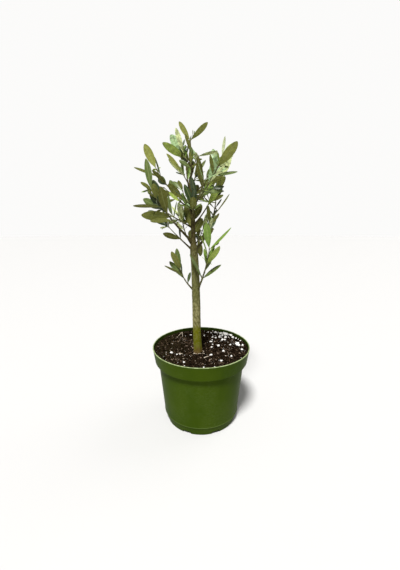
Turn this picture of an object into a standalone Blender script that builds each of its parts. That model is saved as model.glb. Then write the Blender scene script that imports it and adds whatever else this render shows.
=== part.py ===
"""Young olive tree in a green plastic nursery pot, grown as a small standard.

Metres, +Z up. The origin is the middle of the pot's underside, on the ground,
and the side that is looked at from the front faces -Y.
"""
import math
import random
from collections import namedtuple

import bmesh
import bpy
import numpy as np
from mathutils import Vector, noise
from mathutils.bvhtree import BVHTree

# Clearance between neighbours that touch, and how close points are that a mesh welds
GAP = 0.0003
WELD = 0.000001
SHARP_ANGLE = 35.0

# Nursery pot: a 165 mm azalea pot
POT_HEIGHT = 0.129
RIM_RADIUS = 0.0825
WALL = 0.0015
LIP = 0.0018
BEAD = 0.0005
CORNER = 0.0030
COLLAR_ROUND = 0.0008
COLLAR_FOOT = 0.105
COLLAR_FOOT_RADIUS = 0.0787
SHOULDER_RADIUS = 0.0729
CREASE_HEIGHT = 0.0150
CREASE_RADIUS = 0.0645
CREASE_STEP = 0.0010
FOOT_RADIUS = 0.0605
FOOT_RING = 0.0045
FOOT_ROUND = 0.0012
FLOOR_UNDER = 0.0050
FLOOR = 0.0020
PAD_RADIUS = 0.0120
POT_STEPS = 48
DRAINS = 8
DRAIN_WIDTH = 0.0135
DRAIN_HEIGHT = 0.0035

# Potting mix: flat where the trunk stands, rising a little to the wall
MIX_TOP = 0.1175
MIX_FLAT_RADIUS = 0.024
MIX_EDGE_RISE = 0.0060
MIX_ROUGHNESS = 0.0011
MIX_GRAIN = 95.0
MIX_STEPS = 36
MIX_RINGS = 5

# Trunk: height above the mix, the axis' offset along X and Y, and its radius
Station = namedtuple("Station", "height x y radius")
TRUNK = (
    Station(0.000, -0.0055, -0.0090, 0.0070),
    Station(0.025, -0.0068, -0.0086, 0.0066),
    Station(0.100, -0.0085, -0.0074, 0.0064),
    Station(0.150, -0.0102, -0.0066, 0.0060),
    Station(0.174, -0.0118, -0.0061, 0.0056),
    Station(0.186, -0.0123, -0.0058, 0.0041),
    Station(0.225, -0.0132, -0.0052, 0.0030),
    Station(0.262, -0.0163, -0.0045, 0.0020),
    Station(0.279, -0.0168, -0.0041, 0.0017),
    Station(0.291, -0.0136, -0.0039, 0.0016),
    Station(0.302, -0.0140, -0.0037, 0.0015),
)
FLARE = 0.0016
FLARE_HEIGHT = 0.010
FLARE_LOBES = 5
LOBE_DEPTH = 0.10
TRUNK_SIDES = 14
TRUNK_RING = 0.010

# Leaves: an olive's are narrow, leathery and set in crossing pairs
LEAF_THICKNESS = 0.0008
LEAF_NARROWEST = 0.22
LEAF_WIDEST = 0.33
LEAF_ROOT = 0.0012
LEAF_OUTLINE = ((0.00, 0.00), (0.22, 0.62), (0.52, 1.00), (0.84, 0.70))
SHORTEST_LEAF = 0.42
PAIR_JITTER = 14.0
ROLL_JITTER = 12.0
SPREAD_JITTER = 13.0
TIP_CLOSING = 12.0
LEAST_SPREAD = 8.0
PAIR_CROSSING = 90.0
TWIST_JITTER = 32.0
LEAST_BEND = -8.0
MOST_BEND = 26.0
MISSING = 0.12
LEAF_CLEARANCE = 0.0006
SWINGS = (0.0, 12.0, -12.0, 24.0, -24.0)

# Shoots: where each leaves the trunk, how it runs, and its leaves.
# Angles are in degrees, azimuth from +X towards +Y and rise from the level.
PATH_STEPS = 24
BOUGH_STEPS = 6
BOUGH_RESOLUTION = 1
STEM_STEPS = 6
STEM_RESOLUTION = 0
SHORTEST_BOUGH = 0.015
STEM_LEAD = 0.004
TWIG_RADIUS = 0.0006
BUD_LENGTH = 0.0012
BUD_RADIUS = 0.0005
Shoot = namedtuple(
    "Shoot",
    "name height azimuth rise curl sway length first pairs leaf turn spread seed girth",
)


def shoot(name, **sizes):
    """One row of the table of shoots."""
    return Shoot(name=name, **sizes)


SHOOTS = (
    shoot("low_left", height=0.106, azimuth=200, rise=37, curl=35, sway=10,
          length=0.045, first=0.020, pairs=4, leaf=0.045, turn=103,
          spread=30, seed=1369, girth=0.0028),
    shoot("low_right", height=0.104, azimuth=-45, rise=56, curl=24, sway=0,
          length=0.078, first=0.028, pairs=5, leaf=0.047, turn=95,
          spread=35, seed=2927, girth=0.0034),
    shoot("lower_left", height=0.171, azimuth=165, rise=39, curl=6, sway=0,
          length=0.055, first=0.028, pairs=2, leaf=0.047, turn=15,
          spread=40, seed=595, girth=0.0030),
    shoot("mid_left", height=0.184, azimuth=200, rise=42, curl=12, sway=20,
          length=0.099, first=0.046, pairs=5, leaf=0.050, turn=60,
          spread=40, seed=1443, girth=0.0042),
    shoot("back_left", height=0.178, azimuth=120, rise=22, curl=39, sway=-10,
          length=0.064, first=0.044, pairs=4, leaf=0.037, turn=144,
          spread=30, seed=971, girth=0.0028),
    shoot("high_left", height=0.240, azimuth=155, rise=29, curl=21, sway=-25,
          length=0.098, first=0.018, pairs=5, leaf=0.053, turn=150,
          spread=35, seed=578, girth=0.0030),
    shoot("high_right", height=0.239, azimuth=-30, rise=42, curl=20, sway=0,
          length=0.080, first=0.016, pairs=6, leaf=0.052, turn=121,
          spread=40, seed=2348, girth=0.0032),
    shoot("back_right", height=0.170, azimuth=60, rise=23, curl=70, sway=-20,
          length=0.123, first=0.051, pairs=6, leaf=0.046, turn=50,
          spread=30, seed=2420, girth=0.0046),
    shoot("back_mid", height=0.179, azimuth=75, rise=12, curl=26, sway=0,
          length=0.068, first=0.024, pairs=6, leaf=0.051, turn=27,
          spread=35, seed=1776, girth=0.0026),
    shoot("leader_left", height=0.268, azimuth=150, rise=54, curl=5, sway=0,
          length=0.024, first=0.018, pairs=3, leaf=0.037, turn=12,
          spread=25, seed=2383, girth=0.0018),
    shoot("leader_right", height=0.262, azimuth=30, rise=65, curl=10, sway=0,
          length=0.028, first=0.016, pairs=4, leaf=0.041, turn=115,
          spread=30, seed=2807, girth=0.0018),
    shoot("tip", height=0.302, azimuth=140, rise=82, curl=5, sway=0,
          length=0.031, first=0.009, pairs=2, leaf=0.053, turn=135,
          spread=50, seed=1879, girth=0.0030),
    shoot("top_left", height=0.292, azimuth=155, rise=59, curl=0, sway=0,
          length=0.026, first=0.020, pairs=2, leaf=0.049, turn=61,
          spread=35, seed=510, girth=0.0020),
    shoot("top_right", height=0.290, azimuth=15, rise=71, curl=0, sway=0,
          length=0.022, first=0.010, pairs=3, leaf=0.034, turn=115,
          spread=65, seed=992, girth=0.0018),
    shoot("top_front", height=0.286, azimuth=-90, rise=30, curl=20, sway=0,
          length=0.016, first=0.011, pairs=2, leaf=0.029, turn=29,
          spread=35, seed=1190, girth=0.0016),
    shoot("sprig_front", height=0.228, azimuth=-85, rise=30, curl=20, sway=0,
          length=0.014, first=0.009, pairs=4, leaf=0.041, turn=30,
          spread=30, seed=2813, girth=0.0018),
    shoot("sprig_back", height=0.252, azimuth=85, rise=24, curl=0, sway=0,
          length=0.016, first=0.013, pairs=3, leaf=0.039, turn=20,
          spread=35, seed=1503, girth=0.0018),
    shoot("rear_low", height=0.179, azimuth=95, rise=36, curl=5, sway=10,
          length=0.076, first=0.026, pairs=4, leaf=0.052, turn=25,
          spread=45, seed=1623, girth=0.0026),
    shoot("rear_right", height=0.211, azimuth=45, rise=36, curl=30, sway=0,
          length=0.084, first=0.043, pairs=5, leaf=0.056, turn=45,
          spread=35, seed=1077, girth=0.0026),
    shoot("rear_left", height=0.207, azimuth=190, rise=27, curl=5, sway=5,
          length=0.054, first=0.016, pairs=5, leaf=0.052, turn=31,
          spread=45, seed=2986, girth=0.0026),
    shoot("rear_high_right", height=0.256, azimuth=20, rise=32, curl=30, sway=-15,
          length=0.054, first=0.019, pairs=5, leaf=0.044, turn=125,
          spread=30, seed=364, girth=0.0026),
    shoot("rear_high_left", height=0.258, azimuth=125, rise=57, curl=40, sway=-15,
          length=0.057, first=0.022, pairs=4, leaf=0.043, turn=55,
          spread=30, seed=17, girth=0.0026),
    shoot("rear_top", height=0.285, azimuth=90, rise=43, curl=15, sway=20,
          length=0.034, first=0.023, pairs=4, leaf=0.046, turn=115,
          spread=40, seed=1768, girth=0.0020),
    shoot("fore_left", height=0.225, azimuth=230, rise=45, curl=20, sway=10,
          length=0.042, first=0.015, pairs=3, leaf=0.040, turn=30,
          spread=35, seed=2096, girth=0.0020),
    shoot("fore_right", height=0.231, azimuth=-65, rise=40, curl=20, sway=10,
          length=0.053, first=0.021, pairs=3, leaf=0.038, turn=60,
          spread=50, seed=2326, girth=0.0020),
    shoot("rear_mid", height=0.233, azimuth=140, rise=30, curl=10, sway=20,
          length=0.065, first=0.026, pairs=5, leaf=0.052, turn=141,
          spread=30, seed=1862, girth=0.0026),
)


def unit(vector):
    """A vector of the same direction and of length one."""
    return vector / np.linalg.norm(vector)


def along_trunk(height):
    """The trunk's axis point and radius at a height above the mix, smooth between its stations."""
    heights = [station.height for station in TRUNK]
    rows = np.array([(station.x, station.y, station.radius) for station in TRUNK])
    slopes = np.gradient(rows, heights, axis=0)
    low = int(np.clip(np.searchsorted(heights, height) - 1, 0, len(TRUNK) - 2))
    span = heights[low + 1] - heights[low]
    t = (height - heights[low]) / span
    rise = t * t * (3 - 2 * t)
    lead = t * (1 - t) ** 2 * span
    trail = -t * t * (1 - t) * span
    x, y, radius = (
        rows[low] * (1 - rise) + rows[low + 1] * rise + slopes[low] * lead + slopes[low + 1] * trail
    )
    return np.array((x, y, MIX_TOP + height)), radius


def shoot_path(shoot):
    """Points and directions along a shoot, from the trunk's axis to its tip."""
    points = [along_trunk(shoot.height)[0]]
    directions = []
    for step in range(PATH_STEPS):
        t = (step + 0.5) / PATH_STEPS
        azimuth = math.radians(shoot.azimuth + shoot.sway * t)
        rise = math.radians(shoot.rise + shoot.curl * t)
        level = math.cos(rise)
        direction = np.array((level * math.cos(azimuth), level * math.sin(azimuth), math.sin(rise)))
        directions.append(direction)
        points.append(points[-1] + direction * shoot.length / PATH_STEPS)
    directions.append(directions[-1])
    return points, directions


def at_distance(shoot, distance):
    """The point, direction and radius of a shoot at a distance from the trunk's axis."""
    points, directions = shoot_path(shoot)
    place = min(max(distance / shoot.length, 0.0), 1.0) * PATH_STEPS
    low = min(int(place), PATH_STEPS - 1)
    part = place - low
    point = points[low] * (1 - part) + points[low + 1] * part
    direction = unit(directions[low] * (1 - part) + directions[low + 1] * part)
    radius = shoot.girth / 2 * (1 - distance / shoot.length) + TWIG_RADIUS * distance / shoot.length
    return point, direction, radius


Leaf = namedtuple("Leaf", "root stem roll pitch twist length width bend")


def leaves_of(shoot):
    """Draws a shoot's leaves: pairs that cross each other, with a seeded unevenness."""
    draw = random.Random(shoot.seed)
    leaves = []
    for pair in range(shoot.pairs):
        share = pair / (shoot.pairs - 1) if shoot.pairs > 1 else 1.0
        root, stem, _ = at_distance(shoot, shoot.first + (shoot.length - shoot.first) * share)
        pair_roll = shoot.turn + PAIR_CROSSING * pair + draw.gauss(0, PAIR_JITTER)
        spread = shoot.spread - (TIP_CLOSING if pair == shoot.pairs - 1 else 0)
        for side in (0, 180):
            missing = draw.random() < MISSING
            roll = pair_roll + side + draw.gauss(0, ROLL_JITTER)
            pitch = max(LEAST_SPREAD, spread + draw.gauss(0, SPREAD_JITTER))
            length = shoot.leaf * draw.uniform(SHORTEST_LEAF, 1.0)
            width = length * draw.uniform(LEAF_NARROWEST, LEAF_WIDEST)
            twist = draw.gauss(0, TWIST_JITTER)
            bend = draw.uniform(LEAST_BEND, MOST_BEND)
            if not missing:
                leaves.append(Leaf(root, stem, roll, pitch, twist, length, width, bend))
    return leaves


def leaf_frame(leaf, swing):
    """The way a leaf points and the way its upper face looks, swung about its stem."""
    level = unit(np.cross(leaf.stem, (0.0, 0.0, 1.0)))
    over = np.cross(level, leaf.stem)
    roll = math.radians(leaf.roll + swing)
    pitch = math.radians(leaf.pitch)
    twist = math.radians(leaf.twist)
    outward = math.cos(roll) * level + math.sin(roll) * over
    along = math.cos(pitch) * leaf.stem + math.sin(pitch) * outward
    face = unit(leaf.stem - np.dot(leaf.stem, along) * along)
    face = math.cos(twist) * face + math.sin(twist) * np.cross(along, face)
    return along, face


def leaf_mesh(leaf, swing=0.0, clearance=0.0):
    """A leaf's vertices and faces: a small root, diamond sections of four sides and a pointed tip."""
    along, face = leaf_frame(leaf, swing)
    across = np.cross(along, face)
    turn = math.radians(leaf.bend)
    vertices = []
    point = leaf.root.copy()
    reached = 0.0
    for place, share in LEAF_OUTLINE + ((1.0, 0.0),):
        middle = turn * (place + reached) / 2
        step = math.cos(middle) * along - math.sin(middle) * face
        point = point + step * leaf.length * (place - reached)
        reached = place
        upward = math.cos(turn * place) * face + math.sin(turn * place) * along
        if place == 1.0:
            vertices.append(point + step * clearance)
            continue
        half_width = max(leaf.width * share, LEAF_ROOT) / 2 + clearance
        half_depth = LEAF_THICKNESS / 2 + clearance
        vertices += [point + across * half_width, point + upward * half_depth]
        vertices += [point - across * half_width, point - upward * half_depth]
    faces = [(3, 2, 1, 0)]
    last = 4 * (len(LEAF_OUTLINE) - 1)
    for ring in range(0, last, 4):
        for side in range(4):
            after = (side + 1) % 4
            faces.append((ring + side, ring + after, ring + 4 + after, ring + 4 + side))
    for side in range(4):
        faces.append((last + side, last + (side + 1) % 4, last + 4))
    return vertices, faces


def material(name, colour, roughness):
    """A Principled material in the part's own colour."""
    made = bpy.data.materials.new(name)
    made.use_nodes = True
    shader = made.node_tree.nodes["Principled BSDF"]
    shader.inputs["Base Color"].default_value = (*colour, 1.0)
    shader.inputs["Roughness"].default_value = roughness
    shader.inputs["Metallic"].default_value = 0.0
    return made


def new_object(name, mesh, finish, collection):
    """An object of a mesh and its material, in a collection."""
    obj = bpy.data.objects.new(name, mesh)
    collection.objects.link(obj)
    mesh.materials.clear()
    mesh.materials.append(finish)
    return obj


def mesh_of(name, vertices, faces):
    """A mesh of one closed body with its faces pointing out."""
    mesh = bpy.data.meshes.new(name)
    mesh.from_pydata([tuple(vertex) for vertex in vertices], [], faces)
    tidy(mesh)
    return mesh


def tidy(mesh):
    """Welds a mesh's doubles, turns its faces outward and shades it smooth but for its edges."""
    bm = bmesh.new()
    bm.from_mesh(mesh)
    bmesh.ops.remove_doubles(bm, verts=bm.verts, dist=WELD)
    bmesh.ops.recalc_face_normals(bm, faces=bm.faces)
    bm.to_mesh(mesh)
    bm.free()
    mesh.shade_smooth()
    mesh.set_sharp_from_angle(angle=math.radians(SHARP_ANGLE))


def settled(obj):
    """Applies an object's modifiers, or a curve's bevel, and returns it as a plain mesh object."""
    name = obj.name
    collection = obj.users_collection[0]
    place = obj.matrix_world.copy()
    depsgraph = bpy.context.evaluated_depsgraph_get()
    mesh = bpy.data.meshes.new_from_object(obj.evaluated_get(depsgraph))
    finish = obj.data.materials[0]
    bpy.data.objects.remove(obj)
    tidy(mesh)
    plain = new_object(name, mesh, finish, collection)
    plain.matrix_world = place
    return plain


def tube(name, points, radii, resolution, finish, collection):
    """A tapering limb along a curve, with flat ends."""
    curve = bpy.data.curves.new(name, "CURVE")
    curve.dimensions = "3D"
    curve.bevel_depth = 1.0
    curve.bevel_resolution = resolution
    curve.use_fill_caps = True
    spline = curve.splines.new("POLY")
    spline.points.add(len(points) - 1)
    for knot, point, radius in zip(spline.points, points, radii):
        knot.co = (*point, 1.0)
        knot.radius = radius
    curve.materials.append(finish)
    obj = bpy.data.objects.new(name, curve)
    collection.objects.link(obj)
    return settled(obj)


def cut(obj, cutter):
    """Cuts an object by a cutter, with a Boolean modifier that stays on it."""
    boolean = obj.modifiers.new("cut", "BOOLEAN")
    boolean.operation = "DIFFERENCE"
    boolean.object = cutter


def trunk_mesh(name, clearance=0.0):
    """The trunk's level rings, lobed at the root flare, with a flat cut at each end."""
    height = TRUNK[-1].height
    rings = math.ceil(height / TRUNK_RING)
    vertices = []
    for ring in range(rings + 1):
        level = height * ring / rings
        middle, radius = along_trunk(level)
        flare = math.exp(-level / FLARE_HEIGHT)
        if ring == 0:
            middle[2] += GAP - clearance
        if ring == rings:
            middle[2] += clearance
        for side in range(TRUNK_SIDES):
            angle = 2 * math.pi * side / TRUNK_SIDES
            lobes = 1 + LOBE_DEPTH * flare * math.cos(FLARE_LOBES * angle)
            reach = (radius + FLARE * flare) * lobes + clearance
            vertices.append(middle + reach * np.array((math.cos(angle), math.sin(angle), 0.0)))
    faces = [tuple(range(TRUNK_SIDES)), tuple(range(rings * TRUNK_SIDES, (rings + 1) * TRUNK_SIDES))]
    for ring in range(rings):
        for side in range(TRUNK_SIDES):
            after = (side + 1) % TRUNK_SIDES
            low = ring * TRUNK_SIDES
            high = low + TRUNK_SIDES
            faces.append((low + side, low + after, high + after, high + side))
    return mesh_of(name, vertices, faces)


def arc(middle_r, middle_z, radius, start, end, steps):
    """Points on a round edge of a turned profile, from one angle to another in degrees."""
    points = []
    for step in range(steps + 1):
        angle = math.radians(start + (end - start) * step / steps)
        points.append((middle_r + radius * math.cos(angle), middle_z + radius * math.sin(angle)))
    return points


def turned(name, profile, steps, finish, collection):
    """A body turned about +Z from a profile of radius and height, which runs down its outer side."""
    mesh = bpy.data.meshes.new(name)
    edges = [(point, point + 1) for point in range(len(profile) - 1)]
    mesh.from_pydata([(radius, 0.0, height) for radius, height in profile], edges, [])
    obj = new_object(name, mesh, finish, collection)
    screw = obj.modifiers.new("turn", "SCREW")
    screw.steps = steps
    screw.render_steps = steps
    screw.use_merge_vertices = True
    screw.merge_threshold = WELD
    return obj


def inner_wall(clearance):
    """The pot's inside from its floor up to its collar, or a profile that much clear of it."""
    floor = FLOOR_UNDER + FLOOR
    foot = CREASE_RADIUS - CREASE_STEP - WALL
    ledge = COLLAR_FOOT + WALL
    return [
        (foot - CORNER, floor + clearance),
        (foot - clearance, floor + CORNER),
        (CREASE_RADIUS - WALL - clearance, CREASE_HEIGHT + CORNER),
        (SHOULDER_RADIUS - WALL - clearance, COLLAR_FOOT + clearance),
        (SHOULDER_RADIUS - clearance, ledge + clearance),
        (COLLAR_FOOT_RADIUS - WALL - clearance, ledge + clearance),
    ]


def collar_inside(height):
    """The radius of the collar's inner side at a height."""
    low, high = COLLAR_FOOT + WALL, POT_HEIGHT - LIP / 2
    share = (height - low) / (high - low)
    return (COLLAR_FOOT_RADIUS - WALL) * (1 - share) + (RIM_RADIUS - LIP) * share


def build_pot(finish, collection, cutters):
    """The turned pot: rounded lip, collar, tapering wall, crease and foot ring with drain notches."""
    lip = LIP / 2
    profile = [(0.0, FLOOR_UNDER + FLOOR)] + inner_wall(0.0)
    profile += arc(RIM_RADIUS - lip, POT_HEIGHT - lip, lip, 180, -30, 5)
    profile += [(RIM_RADIUS - BEAD, POT_HEIGHT - LIP - BEAD)]
    profile += arc(COLLAR_FOOT_RADIUS - COLLAR_ROUND, COLLAR_FOOT + COLLAR_ROUND, COLLAR_ROUND, 0, -90, 2)
    profile += [(SHOULDER_RADIUS + COLLAR_ROUND, COLLAR_FOOT)]
    profile += [(SHOULDER_RADIUS, COLLAR_FOOT - COLLAR_ROUND)]
    profile += [(CREASE_RADIUS, CREASE_HEIGHT)]
    profile += [(CREASE_RADIUS - CREASE_STEP, CREASE_HEIGHT - CREASE_STEP)]
    profile += arc(FOOT_RADIUS - FOOT_ROUND, FOOT_ROUND, FOOT_ROUND, 0, -90, 2)
    profile += [(FOOT_RADIUS - FOOT_RING, 0.0), (FOOT_RADIUS - FOOT_RING, FLOOR_UNDER)]
    profile += [(PAD_RADIUS, FLOOR_UNDER), (PAD_RADIUS, 0.0), (0.0, 0.0)]
    pot = turned("pot", profile, POT_STEPS, finish, collection)
    for drain in range(DRAINS):
        angle = 2 * math.pi * (drain + 0.5) / DRAINS
        middle = FOOT_RADIUS - FOOT_RING / 2
        bpy.ops.mesh.primitive_cube_add(
            size=1.0,
            location=(middle * math.cos(angle), middle * math.sin(angle), 0.0),
            rotation=(0.0, 0.0, angle),
            scale=(FOOT_RING * 2, DRAIN_WIDTH, DRAIN_HEIGHT * 2),
        )
        notch = bpy.context.object
        notch.name = f"drain_{drain}"
        for owner in notch.users_collection:
            owner.objects.unlink(notch)
        cutters.objects.link(notch)
    boolean = pot.modifiers.new("drains", "BOOLEAN")
    boolean.operation = "DIFFERENCE"
    boolean.operand_type = "COLLECTION"
    boolean.collection = cutters
    return settled(pot)


def build_mix(finish, collection):
    """The plug of potting mix: it fills the pot, and its top dips to a flat round the trunk."""
    edge_top = MIX_TOP + MIX_EDGE_RISE
    edge = collar_inside(edge_top) - GAP
    profile = [(0.0, MIX_TOP)]
    for ring in range(MIX_RINGS + 1):
        share = ring / MIX_RINGS
        radius = MIX_FLAT_RADIUS + (edge - MIX_FLAT_RADIUS) * share
        profile.append((radius, MIX_TOP + MIX_EDGE_RISE * share**2))
    profile += reversed(inner_wall(GAP))
    profile.append((0.0, FLOOR_UNDER + FLOOR + GAP))
    mix = settled(turned("potting_mix", profile, MIX_STEPS, finish, collection))
    for vertex in mix.data.vertices:
        radius = math.hypot(vertex.co.x, vertex.co.y)
        if vertex.co.z > MIX_TOP - GAP and MIX_FLAT_RADIUS + GAP < radius < edge - GAP:
            vertex.co.z += MIX_ROUGHNESS * noise.noise(vertex.co * MIX_GRAIN)
    return mix


def build_bough(shoot, finish, collection, trunk_cutter):
    """One tapering bough, cut clear of the trunk at its foot, up to its mass of leaves."""
    reach = shoot.first - STEM_LEAD
    places = [at_distance(shoot, reach * step / BOUGH_STEPS) for step in range(BOUGH_STEPS + 1)]
    points = [point for point, _, _ in places]
    radii = [radius for _, _, radius in places]
    bough = tube(f"bough_{shoot.name}", points, radii, BOUGH_RESOLUTION, finish, collection)
    cut(bough, trunk_cutter)
    return settled(bough)


def build_stem(shoot, finish, collection, trunk_cutter):
    """A mass's stem: it carries on from its bough's tip, or out of the trunk, to its end bud."""
    start = shoot.first - STEM_LEAD + GAP if has_bough(shoot) else 0.0
    places = []
    for step in range(STEM_STEPS + 1):
        places.append(at_distance(shoot, start + (shoot.length - start) * step / STEM_STEPS))
    tip, direction, _ = places[-1]
    places.append((tip + direction * BUD_LENGTH, direction, BUD_RADIUS))
    points = [point for point, _, _ in places]
    radii = [radius for _, _, radius in places]
    stem = tube(f"leaves_{shoot.name}", points, radii, STEM_RESOLUTION, finish, collection)
    if has_bough(shoot):
        return stem
    cut(stem, trunk_cutter)
    return settled(stem)


def has_bough(shoot):
    """Whether a shoot is bare for long enough to be a limb of its own below its leaves."""
    return shoot.first >= SHORTEST_BOUGH


def shape_tree(mesh):
    """A mesh's faces, for finding what touches it."""
    return BVHTree.FromPolygons(
        [vertex.co.copy() for vertex in mesh.vertices], [tuple(face.vertices) for face in mesh.polygons]
    )


def touches(leaf, swing, others):
    """Whether a leaf, made a little fatter, meets any of the others."""
    vertices, faces = leaf_mesh(leaf, swing, LEAF_CLEARANCE)
    fat = BVHTree.FromPolygons([Vector(vertex) for vertex in vertices], faces)
    return any(fat.overlap(other) for other in others)


def build_leaves(shoot, stem, neighbours, finish):
    """Sets a shoot's leaves on its stem and joins them, leaving out what would touch a neighbour."""
    leaves = bpy.data.collections.new(f"{shoot.name}_loose_leaves")
    bpy.context.scene.collection.children.link(leaves)
    for number, leaf in enumerate(leaves_of(shoot)):
        free = [swing for swing in SWINGS if not touches(leaf, swing, neighbours)]
        if free:
            mesh = mesh_of(f"leaf_{number}", *leaf_mesh(leaf, free[0]))
            new_object(mesh.name, mesh, finish, leaves)
    union = stem.modifiers.new("join", "BOOLEAN")
    union.operation = "UNION"
    union.operand_type = "COLLECTION"
    union.collection = leaves
    union.solver = "MANIFOLD"
    mass = settled(stem)
    for loose in list(leaves.objects):
        bpy.data.objects.remove(loose)
    bpy.data.collections.remove(leaves)
    return mass


def build():
    """Builds the pot, the mix and the trunk, then the boughs, and last the masses of leaves."""
    for obj in list(bpy.data.objects):
        bpy.data.objects.remove(obj)
    collection = bpy.data.collections.new("olive_tree")
    pot_cutters = bpy.data.collections.new("drain_cutters")
    cutters = bpy.data.collections.new("cutters")
    for made in (collection, pot_cutters, cutters):
        bpy.context.scene.collection.children.link(made)

    plastic = material("pot_green", (0.045, 0.115, 0.012), 0.42)
    peat = material("potting_mix", (0.012, 0.008, 0.006), 0.95)
    bark = material("bark", (0.16, 0.145, 0.085), 0.8)
    foliage = material("olive_leaf", (0.075, 0.10, 0.022), 0.5)

    build_pot(plastic, collection, pot_cutters)
    build_mix(peat, collection)
    trunk = new_object("trunk", trunk_mesh("trunk"), bark, collection)
    trunk_cutter = new_object("trunk_cutter", trunk_mesh("trunk_cutter", GAP), bark, cutters)
    limbs = [shape_tree(trunk.data)]
    for shoot in SHOOTS:
        if has_bough(shoot):
            limbs.append(shape_tree(build_bough(shoot, bark, collection, trunk_cutter).data))
    stems = [build_stem(shoot, foliage, collection, trunk_cutter) for shoot in SHOOTS]
    stem_trees = [shape_tree(stem.data) for stem in stems]
    masses = []
    for number, shoot in enumerate(SHOOTS):
        others = stem_trees[:number] + stem_trees[number + 1 :]
        mass = build_leaves(shoot, stems[number], limbs + others + masses, foliage)
        masses.append(shape_tree(mass.data))
    for group in (pot_cutters, cutters):
        for cutter in group.objects:
            cutter.hide_render = True
            cutter.display_type = "WIRE"


build()
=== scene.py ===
"""Looks of a young olive tree in a green plastic nursery pot.

Metres, +Z up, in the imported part's frame: the origin is the middle of the pot's underside, and the
front faces -Y. The sections follow the tree as it is put together: the pot, the mix, the trunk, the
boughs, the twigs and the leaves. The floor, the light and the camera come last.
"""
import math
import random
from collections import namedtuple

import bmesh
import bpy
import numpy as np
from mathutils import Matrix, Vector, noise
from mathutils.bvhtree import BVHTree


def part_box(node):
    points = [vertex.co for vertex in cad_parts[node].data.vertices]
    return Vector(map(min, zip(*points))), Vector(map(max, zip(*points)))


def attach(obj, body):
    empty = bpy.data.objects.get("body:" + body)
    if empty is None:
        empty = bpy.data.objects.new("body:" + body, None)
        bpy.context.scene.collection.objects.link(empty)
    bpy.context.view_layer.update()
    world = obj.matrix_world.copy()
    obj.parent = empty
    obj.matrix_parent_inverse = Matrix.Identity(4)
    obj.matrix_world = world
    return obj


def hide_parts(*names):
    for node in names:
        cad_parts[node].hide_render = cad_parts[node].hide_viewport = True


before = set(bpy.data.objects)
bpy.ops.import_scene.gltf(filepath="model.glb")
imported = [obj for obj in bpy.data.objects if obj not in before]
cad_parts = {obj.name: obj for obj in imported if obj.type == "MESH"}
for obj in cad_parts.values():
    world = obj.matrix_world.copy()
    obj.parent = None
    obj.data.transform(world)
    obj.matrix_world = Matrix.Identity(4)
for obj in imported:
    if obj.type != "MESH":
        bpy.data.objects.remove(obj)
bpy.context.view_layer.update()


# The nursery pot. One thin moulding of green polypropylene: a rounded lip on a tall collar, a wall
# that tapers to a crease, and a foot ring with drain notches. It is turned first and then notched.
# Its lip is pale with a painted highlight, a thin painted highlight runs along the crease bead,
# painted shade darkens its inside and the inside of its foot ring, and dried mix clings to its foot.
POT_HEIGHT = 0.129
RIM_RADIUS = 0.0825
WALL = 0.0015
LIP = 0.0018
# How far down the lip, as a share of its thickness, its painted highlight reaches.
LIP_HIGHLIGHT_SHARE = 0.30
BEAD = 0.0005
CORNER = 0.0030
COLLAR_ROUND = 0.0012
COLLAR_FOOT = 0.105
COLLAR_FOOT_RADIUS = 0.0787
SHOULDER_RADIUS = 0.0729
CREASE_HEIGHT = 0.0150
CREASE_RADIUS = 0.0645
CREASE_STEP = 0.0010
CREASE_BEAD = 0.0008
FOOT_RADIUS = 0.0605
FOOT_RING = 0.0045
FOOT_ROUND = 0.0012
FLOOR_UNDER = 0.0050
FLOOR = 0.0020
PAD_RADIUS = 0.0120
POT_STEPS = 192
DRAINS = 8
DRAIN_WIDTH = 0.0135
DRAIN_HEIGHT = 0.0044
DRAIN_ROUND = 0.0010
COLLAR_SLOPE = (RIM_RADIUS - COLLAR_FOOT_RADIUS) / (POT_HEIGHT - COLLAR_FOOT)
GAP = 0.0003
WELD = 0.000001
SHARP_ANGLE = 38.0
BRACE = 0.0008


def arc(middle_r, middle_z, radius, start, end, steps):
    """Points on a round edge of a turned profile, from one angle to another in degrees."""
    angles = [math.radians(start + (end - start) * step / steps) for step in range(steps + 1)]
    return [(middle_r + radius * math.cos(a), middle_z + radius * math.sin(a)) for a in angles]


def inner_wall(clearance):
    """The pot's inside from its floor up to its collar, or a profile that much clear of it."""
    floor = FLOOR_UNDER + FLOOR
    foot = CREASE_RADIUS - CREASE_STEP - WALL
    ledge = COLLAR_FOOT + WALL
    return [
        (foot - CORNER, floor + clearance),
        (foot - clearance, floor + CORNER),
        (CREASE_RADIUS - WALL - clearance, CREASE_HEIGHT + CORNER),
        (SHOULDER_RADIUS - WALL - clearance, COLLAR_FOOT + clearance),
        (SHOULDER_RADIUS - clearance, ledge + clearance),
        (COLLAR_FOOT_RADIUS - WALL - clearance, ledge + clearance),
    ]


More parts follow.
